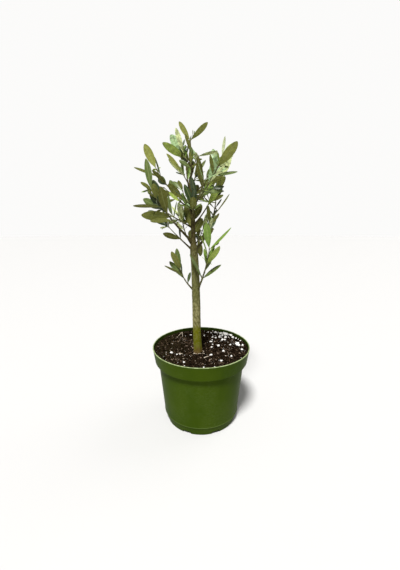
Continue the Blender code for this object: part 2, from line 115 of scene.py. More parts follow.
def pot_profile():
    """Radius and height from the middle of the floor, over the lip and down the outer side."""
    lip = LIP / 2
    under = COLLAR_FOOT + COLLAR_ROUND
    points = [(0.0, FLOOR_UNDER + FLOOR)] + inner_wall(0.0)
    points += [(RIM_RADIUS - LIP - BEAD * COLLAR_SLOPE, POT_HEIGHT - lip - BEAD)]
    points += arc(RIM_RADIUS - lip, POT_HEIGHT - lip, lip, 180, -50, 12)
    points += [(RIM_RADIUS - BEAD, POT_HEIGHT - LIP - BEAD)]
    points += arc(COLLAR_FOOT_RADIUS - COLLAR_ROUND, under, COLLAR_ROUND, 0, -90, 5)
    points += arc(SHOULDER_RADIUS + COLLAR_ROUND, COLLAR_FOOT - COLLAR_ROUND, COLLAR_ROUND, 90, 180, 5)
    points += arc(CREASE_RADIUS - CREASE_BEAD * 0.7, CREASE_HEIGHT, CREASE_BEAD, 60, -60, 5)
    points += [(CREASE_RADIUS - CREASE_STEP, CREASE_HEIGHT - CREASE_STEP)]
    points += arc(FOOT_RADIUS - FOOT_ROUND, FOOT_ROUND, FOOT_ROUND, 0, -90, 4)
    points += [(FOOT_RADIUS - FOOT_RING, 0.0), (FOOT_RADIUS - FOOT_RING, FLOOR_UNDER)]
    return points + [(PAD_RADIUS, FLOOR_UNDER), (PAD_RADIUS, 0.0), (0.0, 0.0)]


def braced(points):
    """The same profile with a ring just inside each end of its longer runs, so that they shade flat."""
    result = [points[0]]
    for (near_r, near_z), (far_r, far_z) in zip(points, points[1:]):
        run = math.hypot(far_r - near_r, far_z - near_z)
        if run > BRACE * 4:
            for share in (BRACE / run, 1 - BRACE / run):
                result.append((near_r + (far_r - near_r) * share, near_z + (far_z - near_z) * share))
        result.append((far_r, far_z))
    return result


def new_piece(name, data):
    """An object for a mesh, a light or the camera, in the scene's own collection."""
    piece = bpy.data.objects.new(name, data)
    bpy.context.scene.collection.objects.link(piece)
    return piece


def settled(piece):
    """The same piece as a plain mesh: modifiers applied, doubles welded, faces outward, edges sharp."""
    name = piece.name
    evaluated = piece.evaluated_get(bpy.context.evaluated_depsgraph_get())
    mesh = bpy.data.meshes.new_from_object(evaluated)
    bpy.data.objects.remove(piece)
    bm = bmesh.new()
    bm.from_mesh(mesh)
    bmesh.ops.remove_doubles(bm, verts=bm.verts, dist=WELD)
    bmesh.ops.recalc_face_normals(bm, faces=bm.faces)
    bm.to_mesh(mesh)
    bm.free()
    mesh.shade_smooth()
    mesh.set_sharp_from_angle(angle=math.radians(SHARP_ANGLE))
    return new_piece(name, mesh)


def mesh_from(bm, name):
    """What stands in a bmesh as a mesh of that name."""
    mesh = bpy.data.meshes.new(name)
    bm.to_mesh(mesh)
    bm.free()
    return mesh


def drain_cutter(number):
    """A block with softened edges that stands across the foot ring at one drain notch."""
    angle = 2 * math.pi * (number + 0.5) / DRAINS
    middle = FOOT_RADIUS - FOOT_RING / 2
    bm = bmesh.new()
    bmesh.ops.create_cube(bm, size=1.0)
    bmesh.ops.scale(bm, vec=(FOOT_RING * 2, DRAIN_WIDTH, DRAIN_HEIGHT * 2), verts=bm.verts)
    bmesh.ops.bevel(bm, geom=list(bm.edges), offset=DRAIN_ROUND, segments=3, profile=0.5, affect="EDGES")
    cutter = new_piece(f"drain_{number}", mesh_from(bm, f"drain_{number}"))
    cutter.rotation_euler.z = angle
    cutter.location = (middle * math.cos(angle), middle * math.sin(angle), 0.0)
    return cutter


def make_pot():
    """Turns the pot's profile and cuts the drain notches out of its foot ring."""
    profile = braced(pot_profile())
    mesh = bpy.data.meshes.new("pot_shell")
    edges = [(point, point + 1) for point in range(len(profile) - 1)]
    mesh.from_pydata([(radius, 0.0, height) for radius, height in profile], edges, [])
    pot = new_piece("pot_shell", mesh)
    turn = pot.modifiers.new("turn", "SCREW")
    turn.steps = turn.render_steps = POT_STEPS
    turn.use_merge_vertices = True
    turn.merge_threshold = WELD
    pot = settled(pot)
    cutters = [drain_cutter(number) for number in range(DRAINS)]
    for cutter in cutters:
        notch = pot.modifiers.new("notch", "BOOLEAN")
        notch.operation = "DIFFERENCE"
        notch.object = cutter
    pot = settled(pot)
    for cutter in cutters:
        bpy.data.objects.remove(cutter)
    return pot


def mark(piece, name, values):
    """Stores one number for each of a piece's vertices, for its material to read."""
    attribute = piece.data.attributes.new(name, "FLOAT", "POINT")
    attribute.data.foreach_set("value", np.asarray(values, np.float32))


def places(piece):
    """A piece's vertices as rows of x, y and z."""
    flat = np.empty(len(piece.data.vertices) * 3)
    piece.data.vertices.foreach_get("co", flat)
    return flat.reshape(-1, 3)


def add(tree, kind, inputs=None, **settings):
    """A node with its settings, each input set to a value or linked to another node's socket."""
    made = tree.nodes.new(kind)
    for name, value in settings.items():
        setattr(made, name, value)
    for name, value in (inputs or {}).items():
        if isinstance(value, bpy.types.NodeSocket):
            tree.links.new(value, made.inputs[name])
        else:
            made.inputs[name].default_value = value
    return made


def math_node(tree, operation, first, second=0.0, clamp=False):
    """The result of one sum on two numbers or sockets."""
    made = add(tree, "ShaderNodeMath", {0: first, 1: second}, operation=operation, use_clamp=clamp)
    return made.outputs[0]


def times(tree, first, second):
    """The product of two numbers or sockets."""
    return math_node(tree, "MULTIPLY", first, second)


def ramp(tree, value, low, high, start=0.0, end=1.0):
    """A number that goes smoothly from start to end while value goes from low to high."""
    inputs = {"Value": value, "From Min": low, "From Max": high, "To Min": start, "To Max": end}
    return add(tree, "ShaderNodeMapRange", inputs, interpolation_type="SMOOTHSTEP").outputs[0]


def by_mask(tree, mask, start, end):
    """A number that goes smoothly from start to end while a mask goes from 0 to 1."""
    return ramp(tree, mask, 0.0, 1.0, start, end)


def blend_colours(tree, share, under, over):
    """The colour over laid on the colour under by a share from 0 to 1."""
    made = add(tree, "ShaderNodeMix", {0: share, 6: under, 7: over}, data_type="RGBA")
    return made.outputs[2]


def lay(tree, under, over, share):
    """A plain colour, given as red, green and blue, laid on what is under it by a share."""
    return blend_colours(tree, share, under, (*over, 1.0))


def stored(tree, name):
    """The number that mark stored under a name, as a material reads it."""
    return add(tree, "ShaderNodeAttribute", attribute_name=name).outputs["Fac"]


def fine_grain(tree, vector, *, scale):
    """A fine even noise for the relief of a surface."""
    return add(tree, "ShaderNodeTexNoise", {"Vector": vector, "Scale": scale, "Detail": 2.0}).outputs["Fac"]


BLACK = (0.0, 0.0, 0.0)
WHITE = (1.0, 1.0, 1.0)
EVEN = (1.0, 1.0, 1.0)


def pattern_group(name, inputs, outputs):
    """A shader node group for a pattern: its tree, its stretched vector, what comes in and what goes out."""
    tree = bpy.data.node_groups.new(name, "ShaderNodeTree")
    inputs = (("Vector", "NodeSocketVector", BLACK), ("Stretch", "NodeSocketVector", EVEN), *inputs)
    for socket, kind, value in inputs:
        made = tree.interface.new_socket(socket, in_out="INPUT", socket_type=kind)
        made.default_value = value
    for socket, kind in outputs:
        tree.interface.new_socket(socket, in_out="OUTPUT", socket_type=kind)
    given = tree.nodes.new("NodeGroupInput").outputs
    result = tree.nodes.new("NodeGroupOutput").inputs
    sides = {0: given["Vector"], 1: given["Stretch"]}
    stretched = add(tree, "ShaderNodeVectorMath", sides, operation="MULTIPLY")
    return tree, stretched.outputs[0], given, result


def mottle_group():
    """Two colours that run into each other in soft patches, with the patches' own mask."""
    tree, spot, given, result = pattern_group(
        "mottle",
        (
            ("Scale", "NodeSocketFloat", 50.0),
            ("Detail", "NodeSocketFloat", 3.0),
            ("Softness", "NodeSocketFloat", 0.25),
            ("Dark", "NodeSocketColor", (*BLACK, 1.0)),
            ("Light", "NodeSocketColor", (*WHITE, 1.0)),
        ),
        (("Color", "NodeSocketColor"), ("Mask", "NodeSocketFloat")),
    )
    inputs = {"Vector": spot, "Scale": given["Scale"], "Detail": given["Detail"]}
    patches = add(tree, "ShaderNodeTexNoise", inputs).outputs["Fac"]
    low = math_node(tree, "SUBTRACT", 0.5, given["Softness"])
    high = math_node(tree, "ADD", 0.5, given["Softness"])
    mask = ramp(tree, patches, low, high)
    tree.links.new(blend_colours(tree, mask, given["Dark"], given["Light"]), result["Color"])
    tree.links.new(mask, result["Mask"])
    return tree


def speckle_group():
    """Small round spots strewn at random, such as dust, lenticels or flecks."""
    tree, spot, given, result = pattern_group(
        "speckle",
        (
            ("Scale", "NodeSocketFloat", 300.0),
            ("Size", "NodeSocketFloat", 0.25),
            ("Share", "NodeSocketFloat", 0.5),
        ),
        (("Mask", "NodeSocketFloat"),),
    )
    cells = add(tree, "ShaderNodeTexVoronoi", {"Vector": spot, "Scale": given["Scale"]})
    dot = ramp(tree, cells.outputs["Distance"], given["Size"], 0.0)
    chosen = add(tree, "ShaderNodeSeparateColor", {"Color": cells.outputs["Color"]})
    kept = math_node(tree, "LESS_THAN", chosen.outputs[0], given["Share"])
    tree.links.new(times(tree, dot, kept), result["Mask"])
    return tree


MOTTLE = mottle_group()
SPECKLE = speckle_group()


def put_group(tree, group, vector, **values):
    """One of the groups placed in a material with its own values, which are named as its inputs are."""
    made = add(tree, "ShaderNodeGroup", node_tree=group)
    tree.links.new(vector, made.inputs["Vector"])
    for name, value in values.items():
        made.inputs[name].default_value = value
    return made.outputs


def mottle(tree, vector, dark=BLACK, light=WHITE, *, scale, detail=3.0, softness=0.25, stretch=EVEN):
    """Places the mottle group in a material and returns its colour and its mask."""
    made = put_group(
        tree, MOTTLE, vector, Scale=scale, Detail=detail, Softness=softness, Stretch=stretch,
        Dark=(*dark, 1.0), Light=(*light, 1.0),
    )
    return made["Color"], made["Mask"]


def speckle(tree, vector, *, scale, size, share, stretch=EVEN):
    """Places the speckle group in a material and returns its mask."""
    made = put_group(tree, SPECKLE, vector, Scale=scale, Size=size, Share=share, Stretch=stretch)
    return made["Mask"]


def surface(name, *, shine):
    """A material, its tree, its object coordinates and their x, y and z, with a plain specular level."""
    made = bpy.data.materials.new(name)
    made.use_nodes = True
    tree = made.node_tree
    tree.nodes["Principled BSDF"].inputs["Specular IOR Level"].default_value = shine
    spot = add(tree, "ShaderNodeTexCoord").outputs["Object"]
    split = add(tree, "ShaderNodeSeparateXYZ", {"Vector": spot})
    return made, tree, spot, split.outputs


def dress(tree, colour, roughness, height, *, strength, depth):
    """Feeds a material's shader with its colour, its roughness and its relief."""
    shader = tree.nodes["Principled BSDF"]
    bump = add(tree, "ShaderNodeBump", {"Height": height, "Strength": strength, "Distance": depth})
    tree.links.new(colour, shader.inputs["Base Color"])
    tree.links.new(roughness, shader.inputs["Roughness"])
    tree.links.new(bump.outputs["Normal"], shader.inputs["Normal"])


POT_DARK = (0.029, 0.055, 0.0016)
POT_LIGHT = (0.043, 0.072, 0.0030)
# The pale of the real scuffs, also used for the painted highlights on the lip and the crease bead.
POT_WEAR_AND_HIGHLIGHT = (0.360, 0.430, 0.215)
POT_DUST = (0.115, 0.105, 0.055)
# The dark green of the painted shade inside the pot, and how strongly it is laid there.
POT_INSIDE_SHADE = (0.012, 0.024, 0.002)
SCUFF_SHARE = 0.035
INSIDE_SHADE_SHARE = 0.75
DUST_HEIGHT = 0.008
DUST_SHARE = 0.10
SPECK_SHARE = 0.14
# The painted highlight along the crease bead: how far it reaches up and down, and how strong it is.
CREASE_HIGHLIGHT_REACH = 0.0013
CREASE_HIGHLIGHT_SHARE = 0.075


def pot_plastic():
    """Satin green plastic with flow marks, fine scuffs, a painted highlight on its lip and crease bead,
    painted shade inside it and in its foot ring, and dried mix at its foot.
    """
    made, tree, spot, axes = surface("pot_green_plastic", shine=0.02)
    colour, _ = mottle(tree, spot, POT_DARK, POT_LIGHT, scale=24.0, softness=0.35, stretch=(1.0, 1.0, 0.6))
    _, scuffs = mottle(tree, spot, scale=260.0, detail=6.0, softness=0.14, stretch=(1.0, 1.0, 2.5))
    _, patches = mottle(tree, spot, scale=22.0, softness=0.12)
    scuffed = times(tree, scuffs, patches)
    colour = lay(tree, colour, POT_WEAR_AND_HIGHLIGHT, times(tree, scuffed, SCUFF_SHARE))
    # Painted shade: the inside of the collar and the inside of the foot ring are darkened.
    colour = lay(tree, colour, POT_INSIDE_SHADE, times(tree, stored(tree, "inside"), INSIDE_SHADE_SHARE))
    foot_dust = times(tree, patches, ramp(tree, axes["Z"], DUST_HEIGHT, 0.0, 0.0, DUST_SHARE))
    specks = speckle(tree, spot, scale=420.0, size=0.30, share=0.10)
    dust = math_node(tree, "ADD", foot_dust, times(tree, specks, SPECK_SHARE), clamp=True)
    colour = lay(tree, colour, POT_DUST, dust)
    # Painted highlight: the top of the lip is lightened, in patches that follow the scuffs.
    lip_highlight = times(tree, stored(tree, "lip"), by_mask(tree, scuffs, 0.50, 0.95))
    colour = lay(tree, colour, POT_WEAR_AND_HIGHLIGHT, lip_highlight)
    # Painted highlight: a thin pale line along the crease bead, where light catches its top.
    rising = ramp(tree, axes["Z"], CREASE_HEIGHT - CREASE_HIGHLIGHT_REACH, CREASE_HEIGHT, 0.0, CREASE_HIGHLIGHT_SHARE)
    falling = ramp(tree, axes["Z"], CREASE_HEIGHT + CREASE_HIGHLIGHT_REACH, CREASE_HEIGHT)
    colour = lay(tree, colour, POT_WEAR_AND_HIGHLIGHT, times(tree, rising, falling))
    rough = math_node(tree, "ADD", by_mask(tree, scuffed, 0.40, 0.50), times(tree, dust, 0.4))
    height = math_node(tree, "ADD", fine_grain(tree, spot, scale=1400.0), times(tree, scuffed, 0.6))
    dress(tree, colour, rough, height, strength=0.16, depth=0.0002)
    return made


pot = make_pot()
pot_places = places(pot)
pot_reach = np.hypot(pot_places[:, 0], pot_places[:, 1])
collar_reach = COLLAR_FOOT_RADIUS + (pot_places[:, 2] - COLLAR_FOOT) * COLLAR_SLOPE
# Where painted shade darkens the pot: inside its collar, and under its floor within the foot ring.
in_collar = (pot_places[:, 2] > COLLAR_FOOT + WALL / 2) & (pot_reach < collar_reach - WALL * 0.7)
in_foot = (pot_places[:, 2] < FLOOR_UNDER + WELD) & (pot_reach < FOOT_RADIUS - FOOT_ROUND - WELD)
mark(pot, "inside", in_collar | in_foot)
# Where the lip's painted highlight lies: the top of its rounded edge.
mark(pot, "lip", pot_places[:, 2] > POT_HEIGHT - LIP * LIP_HIGHLIGHT_SHARE)
pot.data.materials.append(pot_plastic())
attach(pot, "root")
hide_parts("pot")


# The potting mix. Dark peat with bark fibres and white perlite, a little higher at the wall than
# round the trunk. A cloddy body fills the pot, and crumbs, splinters and perlite grains are strewn
# over its top. Most of the perlite has floated to the right and the back.
MIX_TOP = 0.1175
MIX_FLAT_RADIUS = 0.024
MIX_EDGE_RISE = 0.0060
MIX_SIDES = 360
MIX_RINGS = 112
CLODS = ((0.0012, 55.0), (0.0018, 160.0), (0.0014, 380.0), (0.0006, 900.0))
MIX_SEAT = (-0.0055, -0.0090)
SEAT_RADIUS = 0.0100
SEAT_RISE = 0.0007
TOP_LAYER = 0.004
WALL_CLEAR = 0.0022
TRUNK_CLEAR = 0.0082
WALL_PERLITE_FROM = -0.03
PERLITE_DRIFTS = ((0.050, 0.048, 0.021, 1.0), (0.024, 0.062, 0.017, 0.9))
MIX_HEAP = (0.028, 0.060)
HEAP_REACH = 0.028
HEAP_RISE = 0.0016
PATCH_SCALE = 85.0
LITTERS = ((*MIX_SEAT, 0.015, 1.6), (-0.030, 0.048, 0.024, 1.3))
BIG_PERLITE = (
    (0.0470, 0.0530, 0.0076), (0.0440, 0.0590, 0.0050), (0.0565, 0.0480, 0.0050),
    (0.0600, 0.0420, 0.0044), (0.0640, 0.0160, 0.0066), (0.0650, 0.0080, 0.0056),
    (0.0640, 0.0200, 0.0038), (0.0690, -0.0110, 0.0038), (0.0308, 0.0147, 0.0044),
    (0.0163, -0.0195, 0.0044), (0.0316, -0.0415, 0.0042), (0.0186, 0.0110, 0.0036),
    (0.0274, 0.0434, 0.0036), (0.0360, 0.0500, 0.0032), (0.0440, 0.0360, 0.0034),
    (-0.0199, 0.0555, 0.0034), (-0.0354, -0.0184, 0.0030), (-0.0405, -0.0186, 0.0024),
    (-0.0270, -0.0489, 0.0030), (-0.0303, -0.0626, 0.0022), (-0.0256, -0.0573, 0.0020),
    (0.0036, -0.0658, 0.0022),
)
STALK_BEND = (-0.0363, 0.0564, 0.1280)
FIBRES = (
    (STALK_BEND, (-0.0457, 0.0433, 0.1218)),
    (STALK_BEND, (-0.0353, 0.0485, 0.1218)),
    ((-0.0390, -0.0170, 0.1195), (-0.0310, -0.0190, 0.1200)),
    ((0.0040, -0.0300, 0.1180), (0.0130, -0.0260, 0.1190)),
    ((-0.0300, -0.0330, 0.1180), (-0.0220, -0.0370, 0.1195)),
    ((-0.0130, -0.0170, 0.1190), (-0.0070, -0.0195, 0.1200)),
    ((-0.0050, -0.0185, 0.1195), (0.0005, -0.0200, 0.1205)),
    ((0.0010, -0.0165, 0.1195), (0.0060, -0.0190, 0.1200)),
    ((-0.0350, -0.0190, 0.1195), (-0.0300, -0.0200, 0.1200)),
)
BIG_PERLITE_SHAPE = (1.15, 0.95, 0.75)
BIG_PERLITE_SHOWS = 0.3
LUMP_SCALE = 900
LUMP_SHARE = 0.30
LUMP_SEED = 5
FIBRE_RADIUS = 0.0008
FIBRE_SAG = 0.0008
FIBRE_SIDES = 6
FIBRE_RINGS = (0.0, 0.35, 0.7, 1.0)
SKIN_SHARP = 62.0
PEAT_DARK = (0.0013, 0.0008, 0.0005)
PEAT_LIGHT = (0.018, 0.0120, 0.0068)
CHIP_DARK = (0.008, 0.005, 0.003)
CHIP_LIGHT = (0.250, 0.184, 0.132)
PEAT_MOSS = (0.060, 0.062, 0.018)
MOSS_FROM_TO = (-0.012, -0.05)
BARK_DARK = (0.030, 0.016, 0.009)
BARK_LIGHT = (0.17, 0.115, 0.070)
STRAW_DARK = (0.24, 0.19, 0.13)
STRAW_LIGHT = (0.54, 0.47, 0.37)
PERLITE_DARK = (0.72, 0.70, 0.64)
PERLITE_LIGHT = (0.93, 0.92, 0.88)


def around(sides):
    """The angles of the points of a ring with that many sides."""
    return [2 * math.pi * side / sides for side in range(sides)]


def mix_height(x, y, share):
    """How high the mix stands: its dip round the trunk, its clods, the trunk's seat and a heap behind."""
    height = MIX_TOP + MIX_EDGE_RISE * share**2
    for rise, scale in CLODS:
        height += rise * noise.noise(Vector((x, y, rise)) * scale)
    seat = math.hypot(x - MIX_SEAT[0], y - MIX_SEAT[1]) / SEAT_RADIUS
    heap = math.hypot(x - MIX_HEAP[0], y - MIX_HEAP[1]) / HEAP_REACH
    return height + SEAT_RISE * math.exp(-seat**2) + HEAP_RISE * math.exp(-heap**2)


def make_mix():
    """A closed plug: rings of its cloddy top, then its sides down to the pot's floor."""
    low, high = COLLAR_FOOT + WALL, POT_HEIGHT - LIP / 2
    share = (MIX_TOP + MIX_EDGE_RISE - low) / (high - low)
    edge = (COLLAR_FOOT_RADIUS - WALL) * (1 - share) + (RIM_RADIUS - LIP) * share - GAP
    turns = around(MIX_SIDES)
    vertices = [(0.0, 0.0, mix_height(0.0, 0.0, 0.0))]
    for ring in range(1, MIX_RINGS + 1):
        radius = edge * ring / MIX_RINGS
        dip = max(radius - MIX_FLAT_RADIUS, 0.0) / (edge - MIX_FLAT_RADIUS)
        for turn in turns:
            x, y = radius * math.cos(turn), radius * math.sin(turn)
            vertices.append((x, y, mix_height(x, y, dip)))
    for radius, height in reversed(inner_wall(GAP)):
        vertices += [(radius * math.cos(turn), radius * math.sin(turn), height) for turn in turns]
    vertices.append((0.0, 0.0, FLOOR_UNDER + FLOOR + GAP))
    rings = MIX_RINGS + len(inner_wall(GAP))
    last = 1 + (rings - 1) * MIX_SIDES
    faces = []
    for side in range(MIX_SIDES):
        after = (side + 1) % MIX_SIDES
        faces.append((0, 1 + side, 1 + after))
        faces.append((last + after, last + side, len(vertices) - 1))
        for start in range(1, last, MIX_SIDES):
            faces.append((start + side, start + MIX_SIDES + side, start + MIX_SIDES + after, start + after))
    mesh = bpy.data.meshes.new("mix_body")
    mesh.from_pydata(vertices, [], faces)
    mesh.shade_smooth()
    return new_piece("mix_body", mesh), edge


def peat():
    """Dark damp peat, with brown fibres, paler crumbs and a trace of moss to the left."""
    made, tree, spot, axes = surface("damp_peat", shine=0.0)
    colour, crumbs = mottle(tree, spot, PEAT_DARK, PEAT_LIGHT, scale=300.0, detail=7.0, softness=0.07)
    _, fibres = mottle(tree, spot, scale=420.0, detail=4.0, softness=0.07, stretch=(0.3, 1.2, 1.0))
    colour = lay(tree, colour, BARK_DARK, times(tree, fibres, 0.35))
    _, moss = mottle(tree, spot, scale=260.0, detail=6.0, softness=0.06)
    left = ramp(tree, axes["X"], *MOSS_FROM_TO, 0.0, 0.11)
    colour = lay(tree, colour, PEAT_MOSS, times(tree, moss, left))
    dust = speckle(tree, spot, scale=520.0, size=0.3, share=0.04)
    colour = lay(tree, colour, PERLITE_DARK, times(tree, dust, 0.5))
    dress(tree, colour, by_mask(tree, crumbs, 0.78, 0.95), crumbs, strength=0.7, depth=0.0008)
    return made


def grains(name, dark, light, *, scale, roughness):
    """A dull finish of two mottled colours, for loose grains, fibres and the stalks of leaves."""
    made, tree, spot, _ = surface(name, shine=0.06)
    colour, mask = mottle(tree, spot, dark, light, scale=scale, detail=5.0, softness=0.2)
    rough = by_mask(tree, mask, roughness, roughness + 0.08)
    dress(tree, colour, rough, mask, strength=0.4, depth=0.0003)
    return made


def scatter_tree():
    """Strews lumpy grains over a surface, as dense as an attribute of it says."""
    tree = bpy.data.node_groups.new("strewn_grains", "GeometryNodeTree")
    for name, kind in (
        ("Surface", "NodeSocketGeometry"),
        ("Share", "NodeSocketString"),
        ("Grains", "NodeSocketFloat"),
        ("Smallest", "NodeSocketFloat"),
        ("Largest", "NodeSocketFloat"),
        ("Stretch", "NodeSocketVector"),
        ("Facets", "NodeSocketInt"),
        ("Tilt", "NodeSocketFloat"),
        ("Lumps", "NodeSocketFloat"),
        ("Seed", "NodeSocketInt"),
        ("Finish", "NodeSocketMaterial"),
    ):
        tree.interface.new_socket(name, in_out="INPUT", socket_type=kind)
    tree.interface.new_socket("Grains", in_out="OUTPUT", socket_type="NodeSocketGeometry")
    given = tree.nodes.new("NodeGroupInput").outputs
    share = add(tree, "GeometryNodeInputNamedAttribute", {"Name": given["Share"]}, data_type="FLOAT")
    density = times(tree, share.outputs["Attribute"], given["Grains"])
    points = add(
        tree, "GeometryNodeDistributePointsOnFaces",
        {"Mesh": given["Surface"], "Density": density, "Seed": given["Seed"]},
        distribute_method="RANDOM",
    )
    ball = add(tree, "GeometryNodeMeshIcoSphere", {"Radius": 0.5, "Subdivisions": given["Facets"]})
    grain = add(
        tree, "GeometryNodeTransform", {"Geometry": ball.outputs["Mesh"], "Scale": given["Stretch"]}
    )
    back = times(tree, given["Tilt"], -1.0)
    least = add(tree, "ShaderNodeCombineXYZ", {"X": back, "Y": back, "Z": 0.0})
    most = add(tree, "ShaderNodeCombineXYZ", {"X": given["Tilt"], "Y": given["Tilt"], "Z": 2 * math.pi})
    turn = add(
        tree, "FunctionNodeRandomValue",
        {0: least.outputs[0], 1: most.outputs[0], 8: given["Seed"]}, data_type="FLOAT_VECTOR",
    )
    turned = add(tree, "FunctionNodeEulerToRotation", {"Euler": turn.outputs[0]})
    size = add(
        tree, "FunctionNodeRandomValue",
        {2: given["Smallest"], 3: given["Largest"], 8: given["Seed"]}, data_type="FLOAT",
    )
    strewn = add(
        tree, "GeometryNodeInstanceOnPoints",
        {
            "Points": points.outputs["Points"],
            "Instance": grain.outputs["Geometry"],
            "Rotation": turned.outputs["Rotation"],
            "Scale": size.outputs[1],
        },
    )
    real = add(tree, "GeometryNodeRealizeInstances", {"Geometry": strewn.outputs["Instances"]})
    place = add(tree, "GeometryNodeInputPosition").outputs["Position"]
    rough = add(tree, "ShaderNodeTexNoise", {"Vector": place, "Scale": 700.0, "Detail": 1.0})
    middle = add(
        tree, "ShaderNodeVectorMath", {0: rough.outputs["Color"], 1: (0.5, 0.5, 0.5)}, operation="SUBTRACT"
    )
    push = add(
        tree, "ShaderNodeVectorMath", {0: middle.outputs[0], "Scale": given["Lumps"]}, operation="SCALE"
    )
    lumpy = add(
        tree, "GeometryNodeSetPosition", {"Geometry": real.outputs["Geometry"], "Offset": push.outputs[0]}
    )
    dressed = add(
        tree, "GeometryNodeSetMaterial",
        {"Geometry": lumpy.outputs["Geometry"], "Material": given["Finish"]},
    )
    result = tree.nodes.new("NodeGroupOutput")
    tree.links.new(dressed.outputs["Geometry"], result.inputs["Grains"])
    return tree


Grit = namedtuple("Grit", "name share grains smallest largest stretch facets tilt lumps seed finish")


def strew(grit, ground, tree):
    """A piece of grit strewn over the ground, as one plain mesh, from inputs named as its sizes are."""
    sizes = grit._asdict()
    piece = new_piece(grit.name, ground.data.copy())
    piece.data.materials.clear()
    modifier = piece.modifiers.new("strew", "NODES")
    modifier.node_group = tree
    for item in tree.interface.items_tree:
        if item.in_out == "INPUT" and item.name.lower() in sizes:
            modifier[item.identifier] = sizes[item.name.lower()]
    mesh = bpy.data.meshes.new_from_object(piece.evaluated_get(bpy.context.evaluated_depsgraph_get()))
    mesh.name = grit.name
    piece.modifiers.clear()
    bpy.data.objects.remove(piece)
    return new_piece(grit.name, mesh)


def lone_grains(name, spots, edge, finish):
    """The few grains that are large enough to tell apart, each lumpy in its own way."""
    noise.seed_set(LUMP_SEED)
    bm = bmesh.new()
    for number, (x, y, size) in enumerate(spots):
        dip = max(math.hypot(x, y) - MIX_FLAT_RADIUS, 0.0) / (edge - MIX_FLAT_RADIUS)
        middle = Vector((x, y, mix_height(x, y, dip) + size * BIG_PERLITE_SHOWS))
        for vertex in bmesh.ops.create_icosphere(bm, subdivisions=2, radius=size / 2)["verts"]:
            lump = noise.noise_vector(vertex.co * LUMP_SCALE + Vector((number * 7.0, 0.0, 0.0)))
            vertex.co = (vertex.co + lump * size * LUMP_SHARE) * Vector(BIG_PERLITE_SHAPE) + middle
    mesh = mesh_from(bm, name)
    mesh.materials.append(finish)
    mesh.shade_smooth()
    return new_piece(name, mesh)


def ring_of(middle, radius, across, over, turns):
    """Points round a middle at those turns, in the plane of two ways across it."""
    return [middle + radius * (math.cos(turn) * across + math.sin(turn) * over) for turn in turns]


class Skins:
    """Gathers many closed skins, each a stack of rings, into the one mesh of a joined piece."""

    def __init__(self):
        self.vertices = []
        self.faces = []
        self.finishes = []
        self.paleness = []

    def add(self, rings, backs=0, paleness=0.0):
        """Adds a skin from rings that turn round the way they are stacked; its last sides are its back."""
        rings = np.asarray(rings)
        count, sides, _ = rings.shape
        first = len(self.vertices)
        self.vertices += [tuple(point) for point in rings.reshape(-1, 3)]
        self.paleness += list(np.broadcast_to(paleness, (count, sides)).reshape(-1))
        self.faces.append(tuple(first + side for side in reversed(range(sides))))
        self.faces.append(tuple(first + (count - 1) * sides + side for side in range(sides)))
        self.finishes += [0, 0]
        for ring in range(count - 1):
            low = first + ring * sides
            for side in range(sides):
                after = (side + 1) % sides
                self.faces.append((low + side, low + after, low + sides + after, low + sides + side))
                self.finishes.append(int(side >= sides - backs))

    def mesh(self, name, finishes):
        """All the skins as one mesh with those materials."""
        mesh = bpy.data.meshes.new(name)
        mesh.from_pydata(self.vertices, [], self.faces)
        for finish in finishes:
            mesh.materials.append(finish)
        return mesh

    def piece(self, name, finishes, slot, nodes):
        """The joined piece, with its materials and its place in the frame."""
        mesh = self.mesh(name, finishes)
        mesh.shade_smooth()
        mesh.set_sharp_from_angle(angle=math.radians(SKIN_SHARP))
        mesh.polygons.foreach_set("material_index", self.finishes)
        made = new_piece(name, mesh)
        mark(made, "paleness", self.paleness)
        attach(made, "root")
        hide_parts(*nodes)
        return made


def lone_fibres(name, lines, finish):
    """The few pale stalks and fibres that lie on the mix, each a thin stick that tapers to its end."""
    sticks = Skins()
    for start, end in lines:
        start, end = Vector(start), Vector(end)
        across = (end - start).orthogonal().normalized()
        over = (end - start).normalized().cross(across)
        rings = []
        for share in FIBRE_RINGS:
            middle = start.lerp(end, share) + Vector((0.0, 0.0, math.sin(math.pi * share) * FIBRE_SAG))
            radius = FIBRE_RADIUS * (1.1 - 0.8 * share)
            rings.append(ring_of(middle, radius, across, over, around(FIBRE_SIDES)))
        sticks.add(rings)
    return new_piece(name, sticks.mesh(name, [finish]))


def distance_from(points, x, y):
    """How far each point is from a spot, seen from above."""
    return np.hypot(points[:, 0] - x, points[:, 1] - y)


def heaped(points, heaps, power):
    """How thick something lies at each point, from the place, the reach and the share of its heaps."""
    return sum(
        share * np.exp(-((distance_from(points, x, y) / reach) ** power)) for x, y, reach, share in heaps
    )


mix, mix_edge = make_mix()
mix_places = places(mix)
mix_reach = distance_from(mix_places, 0.0, 0.0)
on_top = (mix_places[:, 2] > MIX_TOP - TOP_LAYER) & (mix_reach < mix_edge - WALL_CLEAR)
open_top = on_top & (distance_from(mix_places, *MIX_SEAT) > TRUNK_CLEAR)
on_right = mix_places[:, 0] > 0
at_wall = (mix_reach > mix_edge - WALL_CLEAR * 3) * (mix_places[:, 0] > WALL_PERLITE_FROM)
drift = heaped(mix_places, PERLITE_DRIFTS, 2)
litter = heaped(mix_places, LITTERS, 4)
patches = np.array([noise.noise(Vector((x, y, 0.0)) * PATCH_SCALE) for x, y, _ in mix_places])
clear = np.ones(len(mix_places))
for x, y, size in BIG_PERLITE:
    clear *= distance_from(mix_places, x, y) > size
